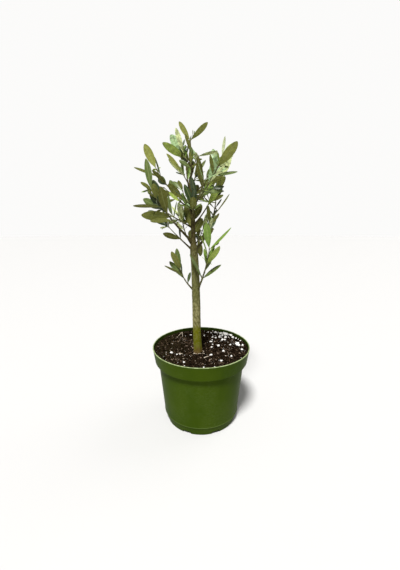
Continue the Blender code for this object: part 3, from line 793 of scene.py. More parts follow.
# Each mark says how thick one kind of grain lies at a point, as a share of the count in its row below.
peat_share = clear * (1 - 0.6 * np.minimum(drift, 1.0))
mark(mix, "crumbs", on_top * peat_share)
mark(mix, "chips", on_top * peat_share * np.clip(0.45 + 1.9 * patches, 0.0, None))
mark(mix, "splinters", open_top * clear * (np.clip(0.7 - 1.6 * patches, 0.1, None) + litter))
mark(mix, "perlite", open_top * (0.022 + 0.85 * drift + 0.02 * on_right + 0.20 * at_wall))
mark(mix, "specks", open_top * (0.09 + 0.85 * drift + 0.30 * at_wall))
peat_finish = peat()
mix.data.materials.append(peat_finish)
chip_finish = grains("peat_chips", CHIP_DARK, CHIP_LIGHT, scale=240.0, roughness=0.85)
bark_finish = grains("bark_splinters", BARK_DARK, BARK_LIGHT, scale=210.0, roughness=0.8)
straw_finish = grains("straw_fibres", STRAW_DARK, STRAW_LIGHT, scale=260.0, roughness=0.75)
perlite_finish = grains("perlite_white", PERLITE_DARK, PERLITE_LIGHT, scale=480.0, roughness=0.75)
ANY_WAY = math.pi
# Counts are grains a square metre, sizes and lumps are metres, and tilts are radians.
GRITS = (
    Grit(
        "mix_crumbs", "crumbs", 90000.0, 0.0010, 0.0036, (1.3, 0.9, 0.75), 1, ANY_WAY, 0.0014, 3,
        peat_finish,
    ),
    Grit(
        "mix_clods", "crumbs", 14000.0, 0.0034, 0.0070, (1.2, 0.9, 0.7), 2, ANY_WAY, 0.0030, 8,
        peat_finish,
    ),
    Grit(
        "mix_chips", "chips", 36000.0, 0.0009, 0.0037, (1.8, 0.65, 0.45), 1, 0.9, 0.0014, 31,
        chip_finish,
    ),
    Grit(
        "mix_splinters", "splinters", 17000.0, 0.0008, 0.0032, (3.2, 0.50, 0.35), 1, 0.4, 0.0012, 11,
        bark_finish,
    ),
    Grit(
        "mix_straw", "splinters", 6500.0, 0.0012, 0.0034, (2.6, 0.24, 0.18), 1, 0.5, 0.0012, 23,
        straw_finish,
    ),
    Grit(
        "mix_perlite", "perlite", 19000.0, 0.0016, 0.0050, (1.15, 0.95, 0.85), 2, ANY_WAY, 0.0016, 5,
        perlite_finish,
    ),
    Grit(
        "mix_perlite_dust", "specks", 60000.0, 0.0004, 0.0014, (1.1, 1.0, 0.9), 1, ANY_WAY, 0.0006, 17,
        perlite_finish,
    ),
)
strewn_grains = scatter_tree()
strewn = (
    *(strew(grit, mix, strewn_grains) for grit in GRITS),
    lone_grains("mix_perlite_large", BIG_PERLITE, mix_edge, perlite_finish),
    lone_fibres("mix_fibres", FIBRES, straw_finish),
)
for piece in (mix, *strewn):
    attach(piece, "root")
    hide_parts("potting_mix")


# The trunk. One young stem of smooth grey-olive bark, with fine fissures, wart-like lenticels and
# the scars of the leaves and side shoots that were rubbed off it. It swells at the foot, and above
# the crown's first forks it steps in where the old leader was cut and a side shoot took over.
Station = namedtuple("Station", "height x y radius")
TRUNK = (
    Station(0.000, -0.0055, -0.0090, 0.0070),
    Station(0.025, -0.0068, -0.0086, 0.0066),
    Station(0.100, -0.0085, -0.0074, 0.0064),
    Station(0.150, -0.0102, -0.0066, 0.0060),
    Station(0.174, -0.0118, -0.0061, 0.0056),
    Station(0.186, -0.0123, -0.0058, 0.0041),
    Station(0.225, -0.0132, -0.0052, 0.0030),
    Station(0.262, -0.0163, -0.0045, 0.0020),
    Station(0.279, -0.0168, -0.0041, 0.0017),
    Station(0.291, -0.0136, -0.0039, 0.0016),
    Station(0.302, -0.0140, -0.0037, 0.0015),
)
FLARE = 0.0009
FLARE_HEIGHT = 0.010
FLARE_LOBES = 5
LOBE_DEPTH = 0.08
TRUNK_RING = 0.00055
TRUNK_SIDES = 84
TRUNK_SUNK = 0.0015
BARK_THICK = 0.0002
FULL_BARK = 0.005
CRACK_NOISE = (520, 75, 0)
CRACK_SHARPNESS = 3.2
CRACK_DEPTH = 0.00024
LUMP_NOISE = (170, 95, 40)
LUMP_RISE = 0.00010
GRAIN_NOISE = (1500, 600, 0)
GRAIN_RISE = 0.00009
MARKS_SEED = 41
LENTICELS = 230
LENTICEL_HEIGHTS = (0.004, 0.185)
LENTICEL_SIZES = (0.00035, 0.00070)
LENTICEL_RISE = 0.00022
FIRST_SCAR = 0.016
FIRST_SCAR_TURN = 0.5
SCAR_SPACING = 0.0205
SCAR_UNEVEN = (0.8, 1.2)
SCAR_LEAN = 0.15
SCAR_FULL_RADIUS = 0.0060
SCAR_RISE = 0.00050
SCAR_WIDTH = 0.0015
CALLUS_HEIGHT = 0.1765
CALLUS_REACH = 0.0032
CALLUS_RISE = 0.0007
CALLUS_TURN = 2.0
GREEN_BAND = (0.076, 0.102)
MOSS_BAND = (0.054, 0.042)
FOOT_BAND = (0.017, 0.002)
LEADER_BAND = (0.150, 0.184)
BAND_WANDER = 0.006
BARK_GREY = (0.290, 0.268, 0.120)
BARK_SHADE = (0.100, 0.092, 0.032)
BARK_MOSS = (0.116, 0.120, 0.002)
BARK_FOOT = (0.118, 0.064, 0.025)
BARK_GREEN = (0.074, 0.078, 0.018)
BARK_LEADER = (0.048, 0.036, 0.013)
BARK_WART = (0.420, 0.400, 0.270)


def unit(vector):
    """A vector of the same direction and of length one."""
    return vector / np.linalg.norm(vector)


def along_trunk(height):
    """The trunk's axis point and radius at a height above the mix, smooth between its stations."""
    heights = [station.height for station in TRUNK]
    rows = np.array([(station.x, station.y, station.radius) for station in TRUNK])
    slopes = np.gradient(rows, heights, axis=0)
    low = int(np.clip(np.searchsorted(heights, height) - 1, 0, len(TRUNK) - 2))
    span = heights[low + 1] - heights[low]
    t = (height - heights[low]) / span
    rise = t * t * (3 - 2 * t)
    lead = t * (1 - t) ** 2 * span
    trail = -t * t * (1 - t) * span
    x, y, radius = (
        rows[low] * (1 - rise) + rows[low + 1] * rise + slopes[low] * lead + slopes[low + 1] * trail
    )
    return np.array((x, y, MIX_TOP + height)), radius


def fissures(turn, radius, along):
    """The relief of olive bark at a place on it: long shallow cracks, lumps and a fine grain."""
    x, y = radius * math.cos(turn), radius * math.sin(turn)
    crack, lump, grain = (
        noise.noise(Vector((x * across, y * across, along * lengthwise + start)))
        for across, lengthwise, start in (CRACK_NOISE, LUMP_NOISE, GRAIN_NOISE)
    )
    crack = 1 - min(abs(crack) * CRACK_SHARPNESS, 1.0)
    return -CRACK_DEPTH * crack**2 + LUMP_RISE * lump + GRAIN_RISE * grain


def trunk_marks():
    """Lenticels and the crossing pairs of scars: height, angle, rise, half height, half width."""
    draw = random.Random(MARKS_SEED)
    marks = []
    for _ in range(LENTICELS):
        height = draw.uniform(*LENTICEL_HEIGHTS)
        size = draw.uniform(*LENTICEL_SIZES)
        marks.append((height, draw.uniform(0, 2 * math.pi), LENTICEL_RISE, size, size * 0.7))
    height = FIRST_SCAR
    turn = FIRST_SCAR_TURN
    while height < TRUNK[-1].height:
        _, radius = along_trunk(height)
        share = min(radius / SCAR_FULL_RADIUS, 1.0)
        for side in (0.0, math.pi):
            lean = turn + side + draw.gauss(0, SCAR_LEAN)
            wide = SCAR_WIDTH * share
            marks.append((height, lean, SCAR_RISE * share, wide * 0.75, wide))
            marks.append((height + wide * 0.5, lean, -SCAR_RISE * share, wide * 0.3, wide * 0.5))
        height += SCAR_SPACING * draw.uniform(*SCAR_UNEVEN)
        turn += math.pi / 2
    return marks


def trunk_rings():
    """The trunk's level rings, with its flare, its callus and the relief of its bark."""
    top = TRUNK[-1].height
    count = math.ceil(top / TRUNK_RING)
    levels = np.linspace(0.0, top, count + 1)
    turns = np.arange(TRUNK_SIDES) * 2 * math.pi / TRUNK_SIDES
    marked = np.zeros((len(levels), TRUNK_SIDES))
    for height, lean, rise, tall, wide in trunk_marks():
        _, radius = along_trunk(height)
        near = np.abs(levels - height) < 3 * tall
        off = (turns - lean + math.pi) % (2 * math.pi) - math.pi
        up = ((levels[near] - height) / tall) ** 2
        aside = (off * radius / wide) ** 2
        marked[near] += rise * np.exp(-(up[:, None] + aside[None, :]))
    rings = []
    for row, level in enumerate(levels):
        middle, radius = along_trunk(level)
        if level == 0.0:
            middle[2] -= TRUNK_SUNK
        flare = math.exp(-level / FLARE_HEIGHT)
        callus = CALLUS_RISE * math.exp(-(((level - CALLUS_HEIGHT) / CALLUS_REACH) ** 2))
        ring = []
        for column, turn in enumerate(turns):
            lobes = 1 + LOBE_DEPTH * flare * math.cos(FLARE_LOBES * turn)
            bark = fissures(turn, radius, level) * min(radius / FULL_BARK, 1.0)
            reach = (radius + BARK_THICK + FLARE * flare) * lobes + bark + marked[row, column]
            reach += callus * (0.6 + 0.4 * math.cos(turn - CALLUS_TURN))
            ring.append(middle + reach * np.array((math.cos(turn), math.sin(turn), 0.0)))
        rings.append(ring)
    return rings


def olive_bark(name, light, dark, warts):
    """Young olive bark: mottled and streaked, speckled with lenticels, mossy low down, brown high up."""
    made, tree, spot, axes = surface(name, shine=0.05)
    colour, streaks = mottle(
        tree, spot, dark, light, scale=420.0, detail=6.0, softness=0.15, stretch=(1.0, 1.0, 0.45)
    )
    _, blotches = mottle(tree, spot, scale=210.0, detail=4.0, softness=0.10, stretch=(1.0, 1.0, 0.8))
    colour = lay(tree, colour, dark, times(tree, blotches, 0.30))
    height = math_node(tree, "SUBTRACT", axes["Z"], MIX_TOP)
    wander = times(tree, math_node(tree, "SUBTRACT", blotches, 0.5), BAND_WANDER)
    height = math_node(tree, "ADD", height, wander)
    colour = lay(tree, colour, BARK_GREEN, ramp(tree, height, *GREEN_BAND, 0.0, 0.66))
    moss = times(tree, ramp(tree, height, *MOSS_BAND), by_mask(tree, streaks, 1.0, 0.80))
    colour = lay(tree, colour, BARK_MOSS, moss)
    foot = times(tree, ramp(tree, height, *FOOT_BAND), by_mask(tree, blotches, 0.80, 1.0))
    colour = lay(tree, colour, BARK_FOOT, foot)
    leader = times(tree, ramp(tree, height, *LEADER_BAND), by_mask(tree, streaks, 0.95, 0.60))
    colour = lay(tree, colour, BARK_LEADER, leader)
    spots = speckle(tree, spot, scale=560.0, size=0.46, share=0.38, stretch=(1.0, 1.0, 0.7))
    shown = times(tree, spots, ramp(tree, leader, 0.0, 0.9, warts, warts * 0.4))
    colour = lay(tree, colour, BARK_WART, shown)
    relief = math_node(tree, "ADD", streaks, times(tree, spots, 0.5))
    dress(tree, colour, by_mask(tree, streaks, 0.85, 0.72), relief, strength=0.35, depth=0.0003)
    return made


trunk_skin = Skins()
trunk_skin.add(trunk_rings())
trunk_finish = olive_bark("trunk_bark", BARK_GREY, BARK_SHADE, warts=0.36)
trunk_skin.piece("trunk_bark", [trunk_finish], "bark", ["trunk"])


# The boughs. Each shoot of the crown is bare for its first stretch, which is a limb of brown bark
# with a collar where it joins the trunk. The table says where each shoot leaves the trunk, how it
# runs and what leaves it has, in metres and degrees: the rule that the part's solids were grown by.
PATH_STEPS = 24
SHORTEST_BOUGH = 0.015
BOUGH_SUNK = 0.001
BOUGH_STEP = 0.0003
BOUGH_LAP = 0.0008
STEM_LEAD = 0.004
TWIG_RADIUS = 0.0006
LIMB_RING = 0.0006
LIMB_SIDES = 18
LIMB_FULL_BARK = 0.004
COLLAR_SWELL = 0.45
COLLAR_LENGTH = 0.0028
NODE_SWELL = 0.30
NODE_LENGTH = 0.0011
SLANT = (0.3, 0.2, 1.0)
BOUGH_GREY = (0.090, 0.066, 0.036)
BOUGH_SHADE = (0.036, 0.026, 0.014)
Shoot = namedtuple(
    "Shoot", "name height azimuth rise curl sway length first pairs leaf turn spread seed girth"
)
SHOOTS = (
    Shoot("low_left", 0.106, 200, 37, 35, 10, 0.045, 0.020, 4, 0.045, 103, 30, 1369, 0.0028),
    Shoot("low_right", 0.104, -45, 56, 24, 0, 0.078, 0.028, 5, 0.047, 95, 35, 2927, 0.0034),
    Shoot("lower_left", 0.171, 165, 39, 6, 0, 0.055, 0.028, 2, 0.047, 15, 40, 595, 0.0030),
    Shoot("mid_left", 0.184, 200, 42, 12, 20, 0.099, 0.046, 5, 0.050, 60, 40, 1443, 0.0042),
    Shoot("back_left", 0.178, 120, 22, 39, -10, 0.064, 0.044, 4, 0.037, 144, 30, 971, 0.0028),
    Shoot("high_left", 0.240, 155, 29, 21, -25, 0.098, 0.018, 5, 0.053, 150, 35, 578, 0.0030),
    Shoot("high_right", 0.239, -30, 42, 20, 0, 0.080, 0.016, 6, 0.052, 121, 40, 2348, 0.0032),
    Shoot("back_right", 0.170, 60, 23, 70, -20, 0.123, 0.051, 6, 0.046, 50, 30, 2420, 0.0046),
    Shoot("back_mid", 0.179, 75, 12, 26, 0, 0.068, 0.024, 6, 0.051, 27, 35, 1776, 0.0026),
    Shoot("leader_left", 0.268, 150, 54, 5, 0, 0.024, 0.018, 3, 0.037, 12, 25, 2383, 0.0018),
    Shoot("leader_right", 0.262, 30, 65, 10, 0, 0.028, 0.016, 4, 0.041, 115, 30, 2807, 0.0018),
    Shoot("tip", 0.302, 140, 82, 5, 0, 0.031, 0.009, 2, 0.053, 135, 50, 1879, 0.0030),
    Shoot("top_left", 0.292, 155, 59, 0, 0, 0.026, 0.020, 2, 0.049, 61, 35, 510, 0.0020),
    Shoot("top_right", 0.290, 15, 71, 0, 0, 0.022, 0.010, 3, 0.034, 115, 65, 992, 0.0018),
    Shoot("top_front", 0.286, -90, 30, 20, 0, 0.016, 0.011, 2, 0.029, 29, 35, 1190, 0.0016),
    Shoot("sprig_front", 0.228, -85, 30, 20, 0, 0.014, 0.009, 4, 0.041, 30, 30, 2813, 0.0018),
    Shoot("sprig_back", 0.252, 85, 24, 0, 0, 0.016, 0.013, 3, 0.039, 20, 35, 1503, 0.0018),
    Shoot("rear_low", 0.179, 95, 36, 5, 10, 0.076, 0.026, 4, 0.052, 25, 45, 1623, 0.0026),
    Shoot("rear_right", 0.211, 45, 36, 30, 0, 0.084, 0.043, 5, 0.056, 45, 35, 1077, 0.0026),
    Shoot("rear_left", 0.207, 190, 27, 5, 5, 0.054, 0.016, 5, 0.052, 31, 45, 2986, 0.0026),
    Shoot("rear_high_right", 0.256, 20, 32, 30, -15, 0.054, 0.019, 5, 0.044, 125, 30, 364, 0.0026),
    Shoot("rear_high_left", 0.258, 125, 57, 40, -15, 0.057, 0.022, 4, 0.043, 55, 30, 17, 0.0026),
    Shoot("rear_top", 0.285, 90, 43, 15, 20, 0.034, 0.023, 4, 0.046, 115, 40, 1768, 0.0020),
    Shoot("fore_left", 0.225, 230, 45, 20, 10, 0.042, 0.015, 3, 0.040, 30, 35, 2096, 0.0020),
    Shoot("fore_right", 0.231, -65, 40, 20, 10, 0.053, 0.021, 3, 0.038, 60, 50, 2326, 0.0020),
    Shoot("rear_mid", 0.233, 140, 30, 10, 20, 0.065, 0.026, 5, 0.052, 141, 30, 1862, 0.0026),
)


def shoot_path(shoot):
    """Points and directions along a shoot, from the trunk's axis to its tip."""
    points = [along_trunk(shoot.height)[0]]
    directions = []
    for step in range(PATH_STEPS):
        t = (step + 0.5) / PATH_STEPS
        azimuth = math.radians(shoot.azimuth + shoot.sway * t)
        rise = math.radians(shoot.rise + shoot.curl * t)
        level = math.cos(rise)
        direction = np.array((level * math.cos(azimuth), level * math.sin(azimuth), math.sin(rise)))
        directions.append(direction)
        points.append(points[-1] + direction * shoot.length / PATH_STEPS)
    directions.append(directions[-1])
    return points, directions


def at_distance(shoot, distance):
    """The point, direction and radius of a shoot at a distance from the trunk's axis."""
    points, directions = shoot_path(shoot)
    place = min(max(distance / shoot.length, 0.0), 1.0) * PATH_STEPS
    low = min(int(place), PATH_STEPS - 1)
    part = place - low
    point = points[low] * (1 - part) + points[low + 1] * part
    direction = unit(directions[low] * (1 - part) + directions[low + 1] * part)
    radius = shoot.girth / 2 * (1 - distance / shoot.length) + TWIG_RADIUS * distance / shoot.length
    return point, direction, radius


def has_bough(shoot):
    """Whether a shoot is bare for long enough to be a limb of its own below its leaves."""
    return shoot.first >= SHORTEST_BOUGH


def out_of_trunk(point):
    """How far a point stands out of the trunk's side; a point over its tip is well out."""
    height = point[2] - MIX_TOP
    if height > TRUNK[-1].height:
        return COLLAR_LENGTH * 3
    middle, radius = along_trunk(height)
    return math.hypot(point[0] - middle[0], point[1] - middle[1]) - radius


def pair_distances(shoot):
    """How far along a shoot each of its pairs of leaves sits."""
    leafy = shoot.length - shoot.first
    return [shoot.first + leafy * (pair / (shoot.pairs - 1)) for pair in range(shoot.pairs)]


def ways_across(direction):
    """Two ways square to a direction and to each other."""
    across = unit(np.cross(direction, SLANT))
    return across, np.cross(direction, across)


def limb_rings(shoot, start, end, sides):
    """Rings of a shoot between two distances, swollen at its collar and at its pairs of leaves."""
    count = max(int((end - start) / LIMB_RING), 3)
    across, _ = ways_across(at_distance(shoot, start)[1])
    rings = []
    for step in range(count + 1):
        distance = start + (end - start) * step / count
        point, direction, radius = at_distance(shoot, distance)
        across = unit(across - np.dot(across, direction) * direction)
        over = np.cross(direction, across)
        swell = 1 + COLLAR_SWELL * math.exp(-max(out_of_trunk(point), 0.0) / COLLAR_LENGTH)
        for pair in pair_distances(shoot):
            swell += NODE_SWELL * math.exp(-(((distance - pair) / NODE_LENGTH) ** 2))
        ring = []
        for turn in around(sides):
            bark = fissures(turn, radius, distance + shoot.height * 9) * radius / LIMB_FULL_BARK
            reach = radius * swell + bark
            ring.append(point + reach * (math.cos(turn) * across + math.sin(turn) * over))
        rings.append(ring)
    return rings


def bough_start(shoot):
    """The distance along a shoot at which it is still a millimetre inside the trunk's bark."""
    distance = 0.0
    while out_of_trunk(at_distance(shoot, distance)[0]) < -BOUGH_SUNK and distance < shoot.first:
        distance += BOUGH_STEP
    return max(distance - 2 * BOUGH_STEP, 0.0)


bough_skin = Skins()
for limb in SHOOTS:
    if has_bough(limb):
        bough_skin.add(limb_rings(limb, bough_start(limb), limb.first - STEM_LEAD + BOUGH_LAP, LIMB_SIDES))
bough_finish = olive_bark("bough_bark", BOUGH_GREY, BOUGH_SHADE, warts=0.25)
bough_nodes = [f"bough_{limb.name}" for limb in SHOOTS if has_bough(limb)]
bough_skin.piece("boughs_bark", [bough_finish], "bark", bough_nodes)


# The twigs. Each bough carries on as a thin green-brown twig with a small swelling under every
# pair of leaves, and ends in a bud. Smaller buds sit in the angles of its leaves.
TWIG_SIDES = 10
TWIG_LAP = 0.0010
BUD_LENGTH = 0.0024
BUD_RADIUS = 0.0007
BUD_SIDES = 8
BUD_RINGS = 6
TWIG_GREEN = (0.130, 0.135, 0.052)
TWIG_BROWN = (0.075, 0.060, 0.026)


def bud_rings(point, direction, length, radius):
    """A pointed bud that stands at a point, its foot a little inside what carries it."""
    across, over = ways_across(direction)
    rings = []
    for step in range(BUD_RINGS + 1):
        share = step / BUD_RINGS
        reach = radius * (0.75 + 0.9 * math.sin(math.pi * share**0.8)) * (1.02 - share) ** 0.6
        middle = point + direction * length * (share - 0.12)
        rings.append(ring_of(middle, reach, across, over, around(BUD_SIDES)))
    return rings


def twig_bark():
    """The green-brown skin of young twigs, streaked along them and finely scurfy."""
    made, tree, spot, _ = surface("twig_bark", shine=0.12)
    colour, mask = mottle(tree, spot, TWIG_BROWN, TWIG_GREEN, scale=240.0, detail=4.0, softness=0.2)
    scurf = speckle(tree, spot, scale=1500.0, size=0.4, share=0.35)
    colour = lay(tree, colour, BARK_WART, times(tree, scurf, 0.3))
    dress(tree, colour, by_mask(tree, mask, 0.62, 0.74), mask, strength=0.3, depth=0.0002)
    return made


twig_skin = Skins()
for limb in SHOOTS:
    begins = limb.first - STEM_LEAD - TWIG_LAP if has_bough(limb) else bough_start(limb)
    twig_skin.add(limb_rings(limb, begins, limb.length, TWIG_SIDES))
    twig_skin.add(bud_rings(*at_distance(limb, limb.length)[:2], BUD_LENGTH, BUD_RADIUS))


# The leaves. Narrow, leathery and blunt, in crossing pairs: dark and glossy above, dull and paler
# with a fine felt below, with a stout pale midrib that runs down into a short stalk. They grow by
# the rule, where their solids stand, and finer sprigs of small leaves stand in some of their angles.
LEAF_NARROWEST = 0.22
LEAF_WIDEST = 0.33
SHORTEST_LEAF = 0.42
PAIR_JITTER = 14.0
ROLL_JITTER = 12.0
SPREAD_JITTER = 13.0
TIP_CLOSING = 12.0
LEAST_SPREAD = 8.0
PAIR_CROSSING = 90.0
TWIST_JITTER = 32.0
LEAST_BEND = -8.0
MOST_BEND = 26.0
MISSING = 0.12
SWINGS = (0.0, 12.0, -12.0, 24.0, -24.0)
TIP_SLACK = 0.0004
BLADE_DEPTH = 0.00042
BLADE_PLACES = (0.07, 0.15, 0.26, 0.40, 0.55, 0.70, 0.83, 0.92, 0.975, 1.0)
BLADE_ACROSS = (-1.0, -0.55, 0.0, 0.55, 1.0)
BLADE_FOLD = (-0.06, 0.09, 0.0, 0.09, -0.06)
BLADE_SWELL = (0.0, 0.8, 1.0, 0.8, 0.0)
BLADE_EDGE = len(BLADE_ACROSS) - 1
WIDEST_PLACE = 0.57
MOST_WRING = 14.0
STALK_RADIUS = 0.00060
STALK_SHARE = 0.10
RIB_RADIUS = 0.00026
RIB_SIDES = 5
RIB_PALENESS = (0.0, 0.0, 1.0, 0.0, 0.0, 0.0, 1.0, 0.0)
USUAL_LEAF = 0.045
AXIL_BUD = 0.0011
AXIL_BUD_RADIUS = 0.00038
SPRIG_CHANCE = 0.26
SPRIG_LENGTH = (0.004, 0.011)
SPRIG_PAIRS = (1, 2, 2, 3)
SPRIG_LEAF = (0.006, 0.015)
SPRIG_LEAN = (25.0, 50.0)
SPRIG_SPREAD = (30, 55)
SPRIG_RADIUS = 0.00045
SPRIG_STEPS = 4
SPRIG_SIDES = 6
LEAF_SEED = 7
SPRIG_SEED = 11
LEAF_RIB = (0.300, 0.330, 0.130)
STALK_GREEN = (0.330, 0.345, 0.150)
STALK_SHADE = (0.210, 0.215, 0.080)
Leaf = namedtuple("Leaf", "root stem roll pitch twist length width bend")
Tint = namedtuple("Tint", "name above below mottling")
# The darkest tint is a darker leaf tone, and where a shoot names it for its pairs it is also painted shade.
TINTS = (
    Tint("deep", (0.032, 0.055, 0.016), (0.134, 0.139, 0.032), 0.16),
    Tint("olive", (0.086, 0.121, 0.027), (0.225, 0.240, 0.058), 0.16),
    Tint("fresh", (0.150, 0.244, 0.034), (0.325, 0.420, 0.088), 0.22),
    Tint("silver", (0.262, 0.372, 0.178), (0.560, 0.620, 0.300), 0.45),
    Tint("pale", (0.440, 0.540, 0.230), (0.680, 0.740, 0.440), 0.25),
)
# Pairs given the darkest tint are painted shade as well as a darker tone, mostly at the back and in the
# middle of the crown.
PAIR_TINTS = {
    "low_left": "deep olive deep olive",
    "low_right": "olive olive fresh fresh",
    "lower_left": "deep",
    "mid_left": "olive deep deep olive",
    "back_left": "silver deep silver olive",
    "high_left": "olive olive deep olive",
    "high_right": "olive deep silver olive olive pale",
    "back_right": "silver olive olive deep deep silver",
    "back_mid": "deep deep deep deep silver silver",
    "leader_left": "silver deep olive",
    "leader_right": "olive deep silver olive",
    "top_left": "fresh silver",
    "top_right": "silver silver olive",
    "tip": "olive",
    "top_front": "olive",
    "sprig_front": "olive deep",
    "rear_low": "deep deep deep silver",
    "rear_right": "fresh olive olive deep silver",
    "rear_left": "silver olive olive deep olive",
    "rear_high_right": "olive olive silver silver",
}
TINT_WEIGHTS = (6, 10, 5, 4, 1)


def leaves_of(shoot):
    """Draws a shoot's leaves: pairs that cross each other, with a seeded unevenness."""
    draw = random.Random(shoot.seed)
    leaves = []
    for pair, distance in enumerate(pair_distances(shoot)):
        root, stem, _ = at_distance(shoot, distance)
        pair_roll = shoot.turn + PAIR_CROSSING * pair + draw.gauss(0, PAIR_JITTER)
        spread = shoot.spread - (TIP_CLOSING if pair == shoot.pairs - 1 else 0)
        for side in (0, 180):
            missing = draw.random() < MISSING
            roll = pair_roll + side + draw.gauss(0, ROLL_JITTER)
            pitch = max(LEAST_SPREAD, spread + draw.gauss(0, SPREAD_JITTER))
            length = shoot.leaf * draw.uniform(SHORTEST_LEAF, 1.0)
            width = length * draw.uniform(LEAF_NARROWEST, LEAF_WIDEST)
            twist = draw.gauss(0, TWIST_JITTER)
            bend = draw.uniform(LEAST_BEND, MOST_BEND)
            if not missing:
                leaves.append(Leaf(root, stem, roll, pitch, twist, length, width, bend))
    return leaves


def leaf_frame(leaf, swing):
    """The way a leaf points and the way its upper face looks, swung about its stem."""
    level = unit(np.cross(leaf.stem, (0.0, 0.0, 1.0)))
    over = np.cross(level, leaf.stem)
    roll = math.radians(leaf.roll + swing)
    pitch = math.radians(leaf.pitch)
    twist = math.radians(leaf.twist)
    outward = math.cos(roll) * level + math.sin(roll) * over
    along = math.cos(pitch) * leaf.stem + math.sin(pitch) * outward
    face = unit(leaf.stem - np.dot(leaf.stem, along) * along)
    face = math.cos(twist) * face + math.sin(twist) * np.cross(along, face)
    return along, face


def leaf_line(leaf, swing, spots, wring=0.0):
    """Along a leaf's middle: its point, the way across it and the way that its upper face looks."""
    along, face = leaf_frame(leaf, swing)
    across = np.cross(along, face)
    turn = math.radians(leaf.bend)
    point = leaf.root.copy()
    reached = 0.0
    line = []
    for place in spots:
        middle = turn * (place + reached) / 2
        step = math.cos(middle) * along - math.sin(middle) * face
        point = point + step * leaf.length * (place - reached)
        reached = place
        upward = math.cos(turn * place) * face + math.sin(turn * place) * along
        roll = math.radians(wring) * place
        sideways = math.cos(roll) * across + math.sin(roll) * upward
        upward = math.cos(roll) * upward - math.sin(roll) * across
        line.append((point, sideways, upward))
    return line


def grown(shoot):
    """The leaves that stand in a shoot's solid, each with the swing that it took there."""
    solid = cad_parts[f"leaves_{shoot.name}"].data
    corners = [vertex.co.copy() for vertex in solid.vertices]
    skin = BVHTree.FromPolygons(corners, [tuple(face.vertices) for face in solid.polygons])
    found = []
    for leaf in leaves_of(shoot):
        for swing in SWINGS:
            tip = leaf_line(leaf, swing, BLADE_PLACES)[-1][0]
            if skin.find_nearest(Vector(tip), TIP_SLACK)[0] is not None:
                found.append((leaf, swing))
                break
    return found


def blade_width(place):
    """A blade's width at a place along the leaf, as a share of its widest."""
    if place < WIDEST_PLACE:
        off = (WIDEST_PLACE - place) / (WIDEST_PLACE - BLADE_PLACES[0])
        return max(1 - off**2, 0.10)
    off = (place - WIDEST_PLACE) / (1 - WIDEST_PLACE)
    return max(1 - off**2.2, 0.0) ** 0.68 + 0.04


def blade_rings(leaf, swing, wring):
    """A blade's rings, its upper side first: grooved at the midrib and turned down at its edges."""
    rings = []
    line = leaf_line(leaf, swing, BLADE_PLACES, wring)
    for place, (point, sideways, upward) in zip(BLADE_PLACES, line):
        half = leaf.width / 2 * blade_width(place)
        depth = BLADE_DEPTH / 2 * (1.15 - 0.75 * place)
        row = [point + half * (x * sideways + rise * upward) for x, rise in zip(BLADE_ACROSS, BLADE_FOLD)]
        top = [spot + upward * depth * swell for spot, swell in zip(row, BLADE_SWELL)]
        back = [spot - upward * depth * swell for spot, swell in zip(row, BLADE_SWELL)]
        rings.append(top + back[BLADE_EDGE - 1:0:-1])
    return rings


def stalk_rings(leaf, swing, wring):
    """The stalk and the midrib that it runs into, which stands out under the blade."""
    spots = (0.0, STALK_SHARE / 3) + BLADE_PLACES[:-1]
    stout = (leaf.length / USUAL_LEAF) ** 0.5
    rings = []
    for place, (point, sideways, upward) in zip(spots, leaf_line(leaf, swing, spots, wring)):
        stalk = (STALK_RADIUS - RIB_RADIUS) * math.exp(-((place / STALK_SHARE) ** 2))
        radius = stout * (RIB_RADIUS * (1 - place) + stalk)
        middle = point - upward * BLADE_DEPTH * 0.3
        rings.append(ring_of(middle, radius, upward, sideways, around(RIB_SIDES)))
    return rings


def grow_leaf(leaf, swing, draw, blades, stalks):
    """Adds a leaf's blade to one of the tints, and its stalk to the stalks."""
    wring = draw.uniform(-MOST_WRING, MOST_WRING)
    blades.add(blade_rings(leaf, swing, wring), backs=BLADE_EDGE, paleness=RIB_PALENESS)
    stalks.add(stalk_rings(leaf, swing, wring))


def sheet_of(rings):
    """A blade's upper face, to tell whether another blade cuts through it."""
    rings = np.asarray(rings)
    count, sides, _ = rings.shape
    faces = [
        (low, low + BLADE_EDGE, low + sides + BLADE_EDGE, low + sides)
        for low in range(0, (count - 1) * sides, sides)
    ]
    return BVHTree.FromPolygons([Vector(point) for point in rings.reshape(-1, 3)], faces)


def any_tint(draw):
    """The number of a tint drawn by weight."""
    return draw.choices(range(len(TINTS)), TINT_WEIGHTS)[0]


def tint_of(shoot, pair, draw):
    """The number of a pair's tint: the one that its shoot names for it, or else any."""
    named = PAIR_TINTS.get(shoot.name, "").split()
    if named:
        return [tint.name for tint in TINTS].index(named[min(pair, len(named) - 1)])
    return any_tint(draw)


def leaf_side(name, colour, mottling, *, shine, rough, felt):
    """One side of the leaves of one tint: its mottled colour, with a pale midrib."""
    made, tree, spot, _ = surface(name, shine=shine)
    dark = tuple(value * (1 - mottling) for value in colour)
    light = tuple(value * (1 + mottling) for value in colour)
    shade, mask = mottle(tree, spot, dark, light, scale=260.0, detail=4.0, softness=0.18)
    rib = math_node(tree, "POWER", stored(tree, "paleness"), 5.0)
    shade = lay(tree, shade, LEAF_RIB, times(tree, rib, 0.45))
    height = math_node(tree, "ADD", times(tree, fine_grain(tree, spot, scale=2600.0), felt), mask)
    dress(tree, shade, by_mask(tree, mask, rough, rough + 0.08), height, strength=0.22, depth=0.00015)
    return made


